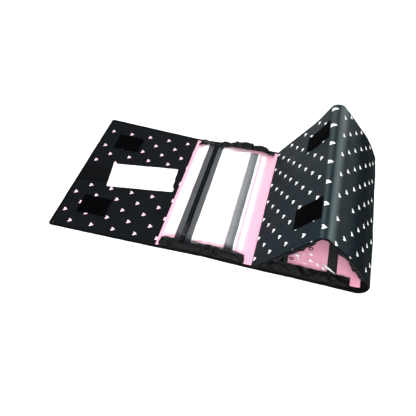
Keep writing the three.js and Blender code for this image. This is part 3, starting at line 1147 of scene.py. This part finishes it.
def patch_piece(body, word, start, middle, base, upward):
    """A pad of pile with a pressed border, on a base height, growing upward (1) or outward (-1)."""
    along = start + np.linspace(0, PATCH_LENGTH, PATCH_ROWS)[:, None]
    across = middle + np.linspace(-PATCH_HALF, PATCH_HALF, PATCH_COLUMNS)
    ragged = PATCH_RAGGED * ripples(along, across, 31, 9, 3)
    inset = np.minimum(along - start, start + PATCH_LENGTH - along)
    inset = np.minimum(inset, PATCH_HALF - np.abs(across - middle))
    border = rise(inset, 0, 1.0) - PATCH_PRESSED * bump(inset, PRESSED_FROM, PRESSED_TO)
    depth = PATCH_PILE * (PATCH_EDGE + (1 - PATCH_EDGE) * border) + 0.5 * ragged * rise(inset, 0, 2)
    foot = base(along, across)
    frayed = ragged * (inset < 0.5)
    heights = (foot + upward * depth, foot - upward * PATCH_SUNK)
    faces = (place(along + frayed, across + frayed, height) for height in heights)
    piece = closed_sheet(f"{body}_pile_{word}", *faces, uv_grid(along, across), PILE, 70)
    dress(piece, "hook_and_loop", f"{body}_patch_{word}", body=body)


def patches():
    """Two patches on the flap's inner side and two on the end panel's outer side."""
    for side, word in SIDES:
        middle = side * PATCH_SIDE
        patch_piece("flap", word, FLAP_PATCH_START, middle, lining_face, 1)
        patch_piece("end_panel", word, AT_END_TOP + END_PATCH_START, middle, outer_face, -1)


# Hanging strap and its paper sleeve

STRAP_LENGTH = 171.9
STRAP_WIDTH = 34
STRAP_UNDER = 3.15
STRAP_TOP = 4.4
STRAP_EDGE = 0.9
STRAP_EDGE_DROP = 0.45
STRAP_EDGE_RISE = 0.3
STRAP_WAVE = 0.12
STRAP_ROWS = 84
STRAP_COLUMNS = 27
SLEEVE_START = 53.9
SLEEVE_END = 170.9
SLEEVE_HALF = 26
SLEEVE_NEAR = 2.4
SLEEVE_UNDER = 3.05
SLEEVE_SIDE = 3.6
SLEEVE_TOP = 4.4
SLEEVE_SKEW = 1.2
SLEEVE_RAGGED = 0.5
SLEEVE_PUFF = 0.35
SLEEVE_ROWS = 54
# Corners over the strap: aside as a share of the half width, and height
SLEEVE_SECTION = np.array([
    (-1, SLEEVE_UNDER), (-1.01, 3.7), (-0.985, 4.5), (-0.9, 4.95),
    (0.9, 4.95), (0.985, 4.5), (1.01, 3.7), (1, SLEEVE_UNDER),
])
PAPER_THICKNESS = 0.3
LAP_HEIGHT = 5.05
LAP_LIFT = 0.15


def on_strap(along, aside, height):
    """World points of places on the strap, counted from its sewn root."""
    root = JOINTS["strap_swing"]["pos_m"]
    turn = JOINTS["strap_swing"]["axis"]
    x = root[0] / MM - along * turn[1] - aside * turn[0]
    y = root[1] / MM + along * turn[0] - aside * turn[1]
    return np.stack(np.broadcast_arrays(x, y, height), -1) * MM


def strap():
    """Flat webbing from the flap's hem."""
    half = STRAP_WIDTH / 2
    along = np.linspace(0, STRAP_LENGTH, STRAP_ROWS)[:, None]
    aside = np.linspace(-half, half, STRAP_COLUMNS)
    edge = 1 - rise(half - np.abs(aside), 0, STRAP_EDGE)
    wave = STRAP_WAVE * (1 + ripples(along, aside, 41, 70, 18))
    upper = on_strap(along, aside, STRAP_TOP - STRAP_EDGE_DROP * edge + wave)
    lower = on_strap(along, aside, STRAP_UNDER + STRAP_EDGE_RISE * edge)
    piece = closed_sheet("strap_webbing", upper, lower, uv_grid(along, aside), WEB)
    dress(piece, "webbing", "hanging_strap", body="strap")
    flat = (STRAP_WIDTH * MM, STRAP_LENGTH * MM)
    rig.sheet(piece, flat=flat, held="laid", rests_on=["flap_inner_satin"])


def sleeve_section():
    """Places aside and heights round the folded paper, over the strap and back under it."""
    run = run_along(SLEEVE_SECTION * [SLEEVE_HALF, 1])
    aside, height = (np.interp(np.linspace(0, 1, 40), run / run[-1], row) for row in SLEEVE_SECTION.T)
    under = np.linspace(aside[-1], aside[0], 30)[1:-1]
    return np.concatenate([aside, under]), np.concatenate([height, np.full(under.shape, SLEEVE_UNDER)])


def sleeve_tube():
    """Points, faces and UV of the paper round the strap, open at both ends."""
    aside, height = sleeve_section()
    share = np.linspace(0, 1, SLEEVE_ROWS)[:, None]
    skew = SLEEVE_SKEW * aside + SLEEVE_RAGGED * ripples(aside * 30, 0, 52, 30, 6)
    run = SLEEVE_START + (SLEEVE_END - SLEEVE_START) * share + skew * np.where(share > 0.5, 1, -0.4)
    half = SLEEVE_HALF + SLEEVE_PUFF * ripples(run, 0, 53, 50, 9) + SLEEVE_NEAR * (aside < 0)
    puff = SLEEVE_PUFF * (1 + ripples(run, aside * SLEEVE_HALF, 54, 60, 15)) * (height > SLEEVE_TOP)
    outside = on_strap(run, aside * half, height + puff)
    inner_half = half * (1 - PAPER_THICKNESS / SLEEVE_HALF)
    inner_height = np.where(height > SLEEVE_SIDE, height - PAPER_THICKNESS, height + 0.05)
    inside = on_strap(run, aside * inner_half, inner_height + puff)
    rows, columns = run.shape
    faces = grid_faces(rows, columns, 0, True) + grid_faces(rows, columns, run.size, True)
    for first in (0, (rows - 1) * columns):
        for j in range(columns):
            a, b = first + j, first + (j + 1) % columns
            faces.append([a, b, run.size + b, run.size + a])
    uv = uv_grid(run, run_along(np.stack([aside * SLEEVE_HALF, height], -1))).reshape(-1, 2)
    points = np.concatenate([outside.reshape(-1, 3), inside.reshape(-1, 3)])
    return points, faces, np.concatenate([uv, uv])


def sleeve_lap():
    """Points, faces and UV of the paper's lap along one long side."""
    along = np.linspace(SLEEVE_START + 6, SLEEVE_END + 1.2, 50)[:, None]
    aside = np.linspace(-SLEEVE_HALF - SLEEVE_NEAR + 0.3, -SLEEVE_HALF + 4.5, 6)
    inset = aside + SLEEVE_HALF
    ragged = SLEEVE_RAGGED * ripples(along, aside, 55, 30, 5) * (inset > 4)
    height = LAP_HEIGHT + LAP_LIFT * bump(along, SLEEVE_START, SLEEVE_END + 20) * inset
    upper, lower = (on_strap(along, aside + ragged, height + lift) for lift in (PAPER_THICKNESS, 0))
    return sheet_parts(upper, lower, uv_grid(along, aside))


def sleeve():
    """White paper folded round the strap."""
    piece = joined("strap_paper_sleeve", [sleeve_tube(), sleeve_lap()], PAPER, 40)
    dress(piece, "white_paper", "strap_sleeve", body="strap")


# Pouches

POUCH_BASE = 3.2
FLAT_TOP = 10.2
TENT_TOP = 11.7
ZIP_SLOT = 4.2
ZIP_CLOTH = 0.6
ZIP_SUNK = 0.3
ZIP_DIP = 0.25
TAPE_HALF = {1: 13.5, 2: 11, 3: 11, 4: 11}
HOOK_HALF = 7.5
HOOK_PILE = 0.62
HOOK_SUNK = 0.15
HOOK_PRESSED = 0.3
VINYL = 0.5
VINYL_REACH = 118.5
VINYL_STEP = 3
VINYL_GROWTH = 0.012
VINYL_CAP = 3.0
VINYL_BENDING = 2.0
FRONT_START = -3
BACK_REACH = 120.5
BACK_INSET = 1.5
BACK_HEIGHT = 4.0
BACK_THICKNESS = 0.35
POUCH_REACH = 121
COVER_POUCH_START = 8
COVER_POUCH_LENGTH = 95.0
END_POUCH_START = 15.4
END_POUCH_LENGTH = 104.1

# The crumpled sides, by side: -1 near and 1 far
GUSSET_TOP = {-1: 116.5, 1: 114}
GUSSET_BASE = 132
GUSSET_CLOTH = 0.6
GUSSET_OVER = 0.5
GUSSET_WAVER = 1.3
FAR_NARROW = 3
FAR_NARROW_FROM = 92
FAR_NARROW_TO = 104
GUSSET_PUFF = 3.2
GUSSET_STEP = 1.8
GUSSET_ROW = 2.2
GUSSET_COLUMNS = 13
GUSSET_GROWTH = 0.16
GUSSET_CAP = 4.0
GUSSET_BENDING = 0.25
NEAR_SHORT = 3.5
FAR_SHORT = {1: -5}
PULL_CLEAR = 3.5
END_LIFT = 0.6
# Humps of each flat pouch's sides: place along the pouch, and height
HUMPS = {
    (1, 1): ((40, 0), (72, 6), (100, 5.6), (104, 2.4), (113, 3.6), (128, 2.2), (132, 0)),
    (2, 1): ((60, 0), (85, 2), (110, 0)),
    (1, -1): ((0, 0), (3, 2.6), (10, 3), (18, 0), (60, 0), (76, 1.2), (92, 0)),
    (2, -1): ((20, 0), (40, 1.5), (60, 0)),
}


class Pouch:
    """A pouch laid along the strip: its number, first place, length and height."""

    def __init__(self, number, start, length, top):
        self.number = number
        self.name = f"pouch_{number}"
        self.start = start
        self.length = length
        self.top = top
        self.flat = number < 3
        self.short = {-1: NEAR_SHORT, 1: FAR_SHORT.get(number, 0)}
        # The first pouch's high haze is a painted white glare
        haze, streak = (PAINTED_GLARE_HAZE, 0.4) if number == 1 else (CLEAR, 1.8)
        # The second pouch's creases carry painted glints
        self.vinyl = vinyl(f"soft vinyl {number}", haze, streak, length, PAINTED_GLINTS if number == 2 else ())

    def profile(self, along):
        """Height of the vinyl's underside over the outer skin."""
        end, top = self.length, self.top
        knots = [0, 1.5, 8, 16, end - 34, end - 18, end - 2, end]
        return np.interp(along, knots, [3.3, 4.4, 8.2, top, top, top - 1.6, 4.6, 3.3])

    def place(self, along, across, inward):
        return place(self.start + along, across, inward)

    def sheet(self, part, node, along, across, heights, look, sharp=50):
        """A closed sheet between two heights, the lower first, riding on the pouch."""
        lower, upper = (self.place(along, across, height) for height in heights)
        material, slot = look
        piece = closed_sheet(f"{self.name}_{part}", upper, lower, uv_grid(along, across), material, sharp)
        return dress(piece, slot, f"{self.name}_{node}", body=self.name)


def pouch_list():
    """The four pouches, the flat ones placed by their CAD solids."""
    laid = []
    for number in (1, 2):
        low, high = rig.box(f"pouch_{number}_gusset")
        laid.append((low.x / MM - FLAP_EDGE, (high.x - low.x) / MM, FLAT_TOP))
    laid.append((AT_SPINE_OUT + COVER_POUCH_START, COVER_POUCH_LENGTH, TENT_TOP))
    laid.append((AT_END_TOP + END_POUCH_START, END_POUCH_LENGTH, TENT_TOP))
    return [Pouch(number, *row) for number, row in enumerate(laid, 1)]


def even_grid(start, stop, reach, along_step, across_step):
    """Places of an even grid of points along and across a pouch."""
    rows = max(3, round((stop - start) / along_step) + 1)
    columns = round(2 * reach / across_step) + 1
    return np.broadcast_arrays(np.linspace(start, stop, rows)[:, None], np.linspace(-reach, reach, columns))


def window_wrinkles(start, stop, seed, growth):
    """Places and heights of a vinyl panel's wrinkles, from cloth a little too large for its frame."""
    along, across = even_grid(start, stop, VINYL_REACH, VINYL_STEP, VINYL_STEP)
    inset = np.minimum(np.minimum(along - start, stop - along) / 8, (VINYL_REACH - np.abs(across)) / 10)
    wave = ripples(along, across * 0.45, seed, 60, 16) * rise(inset, 0, 1)
    held = np.zeros(along.shape, bool)
    held[[0, -1]] = True
    held[:, [0, -1]] = True
    points = np.stack([along, across, 0.5 * wave], -1)
    settled = crumple(points, held, growth, VINYL_CAP, VINYL_BENDING)
    return along, across, settled[..., 2]


def vinyl_panel(pouch, part, node, start, stop, seed):
    """A wrinkled clear panel of the pouch's front."""
    along, across, wrinkle = window_wrinkles(start, stop, seed, VINYL_GROWTH if pouch.flat else 0.0)
    tape = TAPE_HALF[pouch.number]
    over_tape = 1 - rise(np.abs(along - ZIP_PLACE), tape, tape + 6)
    low = pouch.profile(along) + np.clip(wrinkle, -1.2 + 1.15 * over_tape, 2.2)
    look = (pouch.vinyl, "clear_vinyl")
    piece = pouch.sheet(part, node, along, across, (low, low + VINYL), look, 80)
    flat = (2 * VINYL_REACH * MM, (stop - start) * MM)
    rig.sheet(piece, flat=flat, held="stretched", rests_on=[f"{pouch.name}_side_gusset"])


def arc(t, first, middle, last):
    """Curve from the first value to the last, drawn towards the middle one."""
    return (1 - t) ** 2 * first + 2 * t * (1 - t) * middle + t**2 * last


def gusset_band(pouch, side, seed):
    """Points of one crumpled side of a pouch, from over the vinyl's edge out and down to the lining."""
    length = pouch.length - pouch.short[side]
    along = np.linspace(0.5, length, round(length / GUSSET_ROW) + 1)[:, None]
    t = np.linspace(0, 1, GUSSET_COLUMNS)
    humps = np.interp(along, *zip(*HUMPS[pouch.number, side]))
    waver = ripples(along, 0, seed, 60, 9)
    top = pouch.top + VINYL + GUSSET_OVER
    crown = np.interp(along, [0, 9, length - 22, length], [6.5, top, top, 7.5])
    narrow = FAR_NARROW * rise(along, FAR_NARROW_FROM, FAR_NARROW_TO) if side > 0 else 0
    puff = GUSSET_PUFF * np.interp(along, [0, 40], [0.2, 1]) if side > 0 else GUSSET_PUFF
    edge = GUSSET_TOP[side] + narrow + GUSSET_WAVER * waver
    across = arc(t, edge, GUSSET_BASE - 1.5 + 0.3 * humps, GUSSET_BASE + 0.3 * waver)
    height = arc(t, crown + 0.6 * humps, crown + puff + 2.0 * humps, POUCH_BASE + 0.9)
    rough = 0.5 * ripples(along, 60 * t, seed + 1, 26, 6) * np.sin(math.pi * t)
    points = np.stack(np.broadcast_arrays(along, across, height + rough), -1)
    held = np.zeros(points.shape[:2], bool)
    held[:, [0, -1]] = True
    settled = crumple(points, held, GUSSET_GROWTH, GUSSET_CAP, GUSSET_BENDING)
    settled[..., 2] = np.maximum(settled[..., 2], POUCH_BASE + 0.8)
    clear = PULL_CLEAR * (1 - rise(np.abs(along - ZIP_PLACE), 7, 12))
    settled[..., 1] = np.clip(settled[..., 1], GUSSET_TOP[side] - 3 + clear, GUSSET_BASE + 1.2)
    return settled


def gusset_side(pouch, side, band):
    """Points, faces and UV of one side of a pouch, scaled to its length and laid on the strip."""
    points = band.copy()
    length = pouch.length - pouch.short[side]
    points[..., 0] *= length / band[-1, 0, 0]
    lift = END_LIFT * rise(points[..., 0], length - 10, length - 4)
    points[..., 2] += lift
    outward = np.cross(np.gradient(points, axis=0), np.gradient(points, axis=1))
    outward /= np.maximum(np.linalg.norm(outward, axis=-1, keepdims=True), 1e-9)
    outward *= np.where(outward[..., 2].mean() < 0, -1, 1)
    under = points - outward * GUSSET_CLOTH
    under[..., 2] = np.maximum(under[..., 2], POUCH_BASE + 0.2 + lift)
    faces = (pouch.place(face[..., 0], side * face[..., 1], face[..., 2]) for face in (points, under))
    around = np.arange(points.shape[1]) * GUSSET_STEP + 40 * side
    return sheet_parts(*faces, uv_grid(points[..., 0], around))


def gusset_piece(pouch, bands):
    """The near and far sides of a pouch."""
    parts = [gusset_side(pouch, side, band) for side, band in bands.items()]
    piece = joined(f"{pouch.name}_side_gusset", parts, GUSSET, 80)
    dress(piece, "gusset_cloth", f"{pouch.name}_gusset", body=pouch.name)


TOOTH_PITCH = 1.7
TOOTH_LENGTH = 3.4
TOOTH_WIDTH = 1.15
TOOTH_HEIGHT = 1.3
TOOTH_SIDES = 6
TOOTH_SHIFT = 0.75
# Rings of a tooth: share of its length, and scale
TOOTH_RINGS = np.array([(-0.5, 0.45), (-0.38, 1.0), (0.3, 1.0), (0.5, 0.5)])


def teeth(pouch):
    """Two rows of interlocked zip teeth down the middle of the tape."""
    turn = np.linspace(0, math.tau, TOOTH_SIDES, endpoint=False) + math.pi / TOOTH_SIDES
    reach, scale = TOOTH_RINGS[:, :1] * TOOTH_LENGTH, TOOTH_RINGS[:, 1:]
    width = np.cos(turn) * TOOTH_WIDTH / 2 * scale
    height = pouch.top - 0.1 + TOOTH_HEIGHT / 2 + np.sin(turn) * TOOTH_HEIGHT / 2 * scale
    parts = []
    for count, across in enumerate(np.arange(-POUCH_REACH + 4, POUCH_REACH - 4, TOOTH_PITCH / 2)):
        side = 1 if count % 2 else -1
        rings = pouch.place(ZIP_PLACE + side * (TOOTH_SHIFT - reach), across + width, height)
        parts.append(swept(rings, reach[:, 0] * MM, (turn + count) * MM))
    piece = joined(f"{pouch.name}_zip_teeth", parts, COIL, 40)
    dress(piece, "zip_tape", body=pouch.name)


def zip_tape(pouch):
    """The tape, dipping a little beside its teeth."""
    half = TAPE_HALF[pouch.number]
    along, across = even_grid(ZIP_PLACE - half, ZIP_PLACE + half, POUCH_REACH, 1.1, 4)
    dip = ZIP_DIP * bump(np.abs(along - ZIP_PLACE), 2, 5)
    high = pouch.top - ZIP_SUNK - dip + 0.08 * ripples(along, across, 61, 30, 8)
    look = (ZIP_TAPE, "zip_tape")
    piece = pouch.sheet("zip_cloth", "zip_tape", along, across, (high - ZIP_CLOTH, high), look)
    flat = (2 * half * MM, 2 * POUCH_REACH * MM)
    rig.sheet(piece, flat=flat, held="stretched", rests_on=[f"{pouch.name}_side_gusset"])


SLIDER_LENGTH = 12
SLIDER_Y = -103
SLIDER_HALF = 3.8
SLIDER_PLATE = 0.9
BRIDGE_POINTS = 13
BRIDGE_REACH = 3.8
BRIDGE_HEIGHT = 1.5
BRIDGE_RADIUS = 0.6
PULL_LENGTH = 22
PULL_HALF = 3
PULL_THICKNESS = 1
BEVEL = 0.3
CORNER_POINTS = 8


def rounded_outline(half_along, half_across, corner):
    """Points round a rectangle with round corners."""
    points = []
    for quarter, (sign_a, sign_b) in enumerate(((1, 1), (-1, 1), (-1, -1), (1, -1))):
        angles = np.linspace(0, math.pi / 2, CORNER_POINTS) + quarter * math.pi / 2
        centre = (sign_a * (half_along - corner), sign_b * (half_across - corner))
        points += [(centre[0] + corner * math.cos(a), centre[1] + corner * math.sin(a)) for a in angles]
    return np.array(points)


def plate(pouch, outline, middle, low, high):
    """Points, faces and UV of a flat plate with bevelled edges, laid over the zip."""
    small = 1 - BEVEL / 4
    rings = []
    for height, scale in ((low, small), (low + BEVEL, 1), (high - BEVEL, 1), (high, small)):
        along, across = (outline * scale + middle).T
        rings.append(pouch.place(ZIP_PLACE + along, across, height))
    return swept(np.array(rings), np.arange(4) * MM, np.arange(len(outline)) * MM)


def pull_tab(pouch, low):
    """Points, faces and UV of the pull, a flat tab with an eye near its end."""
    outer = rounded_outline(PULL_HALF, PULL_LENGTH / 2, 2.6)
    eye = rounded_outline(1.7, 2.6, 1.6) + [0, PULL_LENGTH / 2 - 5]
    high = low + PULL_THICKNESS
    loops = []
    for line, height in ((outer, low), (outer, high), (eye, high), (eye, low)):
        across = SLIDER_Y + PULL_LENGTH / 2 + line[:, 1]
        loops.append(pouch.place(ZIP_PLACE + line[:, 0], across, height))
    points = np.concatenate(loops)
    rows, columns = len(loops), len(outer)
    faces = [[n % len(points) for n in face] for face in grid_faces(rows + 1, columns, 0, True)]
    uv = np.stack(np.meshgrid(np.arange(columns), np.arange(rows)), -1).reshape(-1, 2) * MM
    return points, faces, uv


def slider(pouch):
    """The zip's slider: a plate with two walls, a bridge and the pull."""
    half = SLIDER_LENGTH / 2
    body = rounded_outline(SLIDER_HALF, half, 2.4)
    body[:, 0] *= 1 - 0.18 * (body[:, 1] < 0) * np.abs(body[:, 1]) / half
    wall = rounded_outline(0.4, half - 1.2, 0.35)
    top = pouch.top + 1.5
    parts = [plate(pouch, body, (0, SLIDER_Y), top, top + SLIDER_PLATE)]
    for side, _ in SIDES:
        middle = (side * (SLIDER_HALF - 0.5), SLIDER_Y)
        parts.append(plate(pouch, wall, middle, pouch.top + 0.3, top + 0.3))
    turn = np.linspace(0, math.pi, BRIDGE_POINTS)
    across = SLIDER_Y - BRIDGE_REACH * np.cos(turn)
    line = pouch.place(ZIP_PLACE, across, top + 0.7 + BRIDGE_HEIGHT * np.sin(turn))
    parts.append(round_tube(line, BRIDGE_RADIUS * MM))
    parts.append(pull_tab(pouch, top + 0.95))
    piece = joined(f"{pouch.name}_zip_runner", parts, METAL, 35)
    dress(piece, "zip_metal", f"{pouch.name}_zip_slider", body=f"zip_{pouch.number}")


# Thread loops on the near sides of the raised pouches: places along, across and inward
LOOPS = {3: [(6, -121, 11.5)], 4: [(11.9, -133.5, 11.3), (51, -132.5, 15.3)]}
LOOP_RADIUS = 2.7
LOOP_CORD = 0.7


def thread_loops(pouch):
    """Small sewn rings of black cord that hang from a pouch's side."""
    turn = np.linspace(0, math.tau, 25)
    parts = []
    for along, across, inward in LOOPS.get(pouch.number, []):
        line = pouch.place(along + LOOP_RADIUS * np.cos(turn), across, inward + LOOP_RADIUS * np.sin(turn))
        parts.append(round_tube(line, LOOP_CORD * MM))
    if parts:
        dress(joined(f"{pouch.name}_thread_loops", parts, WEB), "gusset_cloth", body=pouch.name)


def hook_strip(pouch):
    """The strip of pile under the pouch that holds it on the lining."""
    middle = pouch.length - HOOK_FROM_END
    along, across = even_grid(middle - HOOK_HALF, middle + HOOK_HALF, POUCH_REACH - 2, 1.0, 4)
    pressed = HOOK_PRESSED * (1 - rise(HOOK_HALF - np.abs(along - middle), 0, 0.8))
    high = POUCH_BASE + HOOK_PILE - pressed + 0.04 * ripples(along, across, 71, 9, 3)
    look = (PILE, "hook_and_loop")
    pouch.sheet("hook_pile", "hook_strip", along, across, (POUCH_BASE - HOOK_SUNK, high), look)


def back_sheet(pouch, material):
    """The pouch's clear back, lying on the lining."""
    along, across = even_grid(BACK_INSET, pouch.length - BACK_INSET, BACK_REACH, 2.5, 5)
    low = BACK_HEIGHT + 0.12 * ripples(along, across, 81 + pouch.number, 60, 15)
    look = (material, "clear_vinyl")
    piece = pouch.sheet("back_sheet", "back", along, across, (low, low + BACK_THICKNESS), look)
    flat = (2 * BACK_REACH * MM, (pouch.length - 2 * BACK_INSET) * MM)
    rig.sheet(piece, flat=flat, held="laid", rests_on=[f"{pouch.name}_hook_pile"])


def pouches():
    """Four pouches; the raised two repeat the second one's crumpled sides."""
    back = vinyl("back vinyl", BACK_CLEAR, 1.0, 140)
    bands = {}
    for pouch in pouch_list():
        number = pouch.number
        if pouch.flat:
            bands = {side: gusset_band(pouch, side, 90 + 10 * number + side) for side, _ in SIDES}
        gusset_piece(pouch, bands)
        hook_strip(pouch)
        back_sheet(pouch, back)
        zip_tape(pouch)
        teeth(pouch)
        slider(pouch)
        thread_loops(pouch)
        below, above = ZIP_PLACE - ZIP_SLOT, ZIP_PLACE + ZIP_SLOT
        vinyl_panel(pouch, "clear_front", "front_strip", FRONT_START, below, 110 + number)
        vinyl_panel(pouch, "clear_window", "window", above, pouch.length, 120 + number)


# Floor, light and camera

FLOOR_SIZE = 6.0
FLOOR_DROP = 0.0003
FOCAL_SHARE = 443.1 / 416
SENSOR = 36
CAMERA_PLACE = (113.02, -495.7, 580.8)
CAMERA_RIGHT = (0.9658, 0.2594, 0.0008)
CAMERA_DOWN = (0.2011, -0.7471, -0.6335)
CAMERA_FORWARD = (-0.1638, 0.612, -0.7737)
# Each light: place, target, size and power
LIGHTS = {
    "overhead": ((-0.15, -0.1, 1.9), (0, 0, 0), 2.4, 28),
    "left_fill": ((-1.5, -0.9, 1.0), (0, 0, 0.05), 1.2, 9),
    "right_fill": ((1.5, -0.5, 1.0), (0.15, 0, 0.05), 1.2, 1.5),
    "front_fill": ((0.15, -1.0, 1.05), (0.12, 0, 0.02), 0.7, 26),
    "far_fill": ((0.17, 1.1, 0.3), (0.17, 0, 0.02), 0.7, 10),
}
WORLD_STRENGTH = 0.45
# Faces of clear vinyl that a line of sight may pass, through all four pouches
CLEAR_FACES = 40


def floor():
    """A plain pale floor under the bag."""
    half = FLOOR_SIZE / 2
    points = np.array([(-half, -half, 0), (half, -half, 0), (half, half, 0), (-half, half, 0)])
    piece = new_piece("floor", points, [[0, 1, 2, 3]], points[:, :2], pale_floor())
    piece.location.z = -FLOOR_DROP
    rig.stage(piece)


def lights():
    """Large soft lights and an even surround."""
    scene = bpy.context.scene
    for name, (stand, target, size, power) in LIGHTS.items():
        lamp = bpy.data.lights.new(name, "AREA")
        lamp.size = size
        lamp.energy = power
        holder = bpy.data.objects.new(name, lamp)
        holder.location = stand
        aim = Vector(target) - Vector(stand)
        holder.rotation_euler = aim.to_track_quat("-Z", "Y").to_euler()
        scene.collection.objects.link(holder)
    world = bpy.data.worlds.new("studio")
    world.use_nodes = True
    background = world.node_tree.nodes["Background"]
    background.inputs["Color"].default_value = (1, 1, 1, 1)
    background.inputs["Strength"].default_value = WORLD_STRENGTH
    scene.world = world
    scene.view_settings.view_transform = "Standard"
    scene.cycles.transparent_max_bounces = CLEAR_FACES


def camera():
    """The photograph's viewpoint."""
    data = bpy.data.cameras.new("camera")
    data.sensor_width = SENSOR
    data.lens = FOCAL_SHARE * SENSOR
    data.clip_start = 0.01
    eye = bpy.data.objects.new("camera", data)
    columns = [CAMERA_RIGHT, [-v for v in CAMERA_DOWN], [-v for v in CAMERA_FORWARD]]
    rows = [[columns[j][i] for j in range(3)] + [CAMERA_PLACE[i] * MM] for i in range(3)]
    eye.matrix_world = Matrix(rows + [[0, 0, 0, 1]])
    bpy.context.scene.collection.objects.link(eye)
    bpy.context.scene.camera = eye


camera()
floor()
lights()
outer_skin()
inner_lining()
bindings()
patches()
strap()
sleeve()
pouches()

with open("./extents.json", "w") as size_file:
    json.dump({"cad": [list(c) for c in CAD_BOX], "visual": [list(c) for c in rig.bounds()]}, size_file)
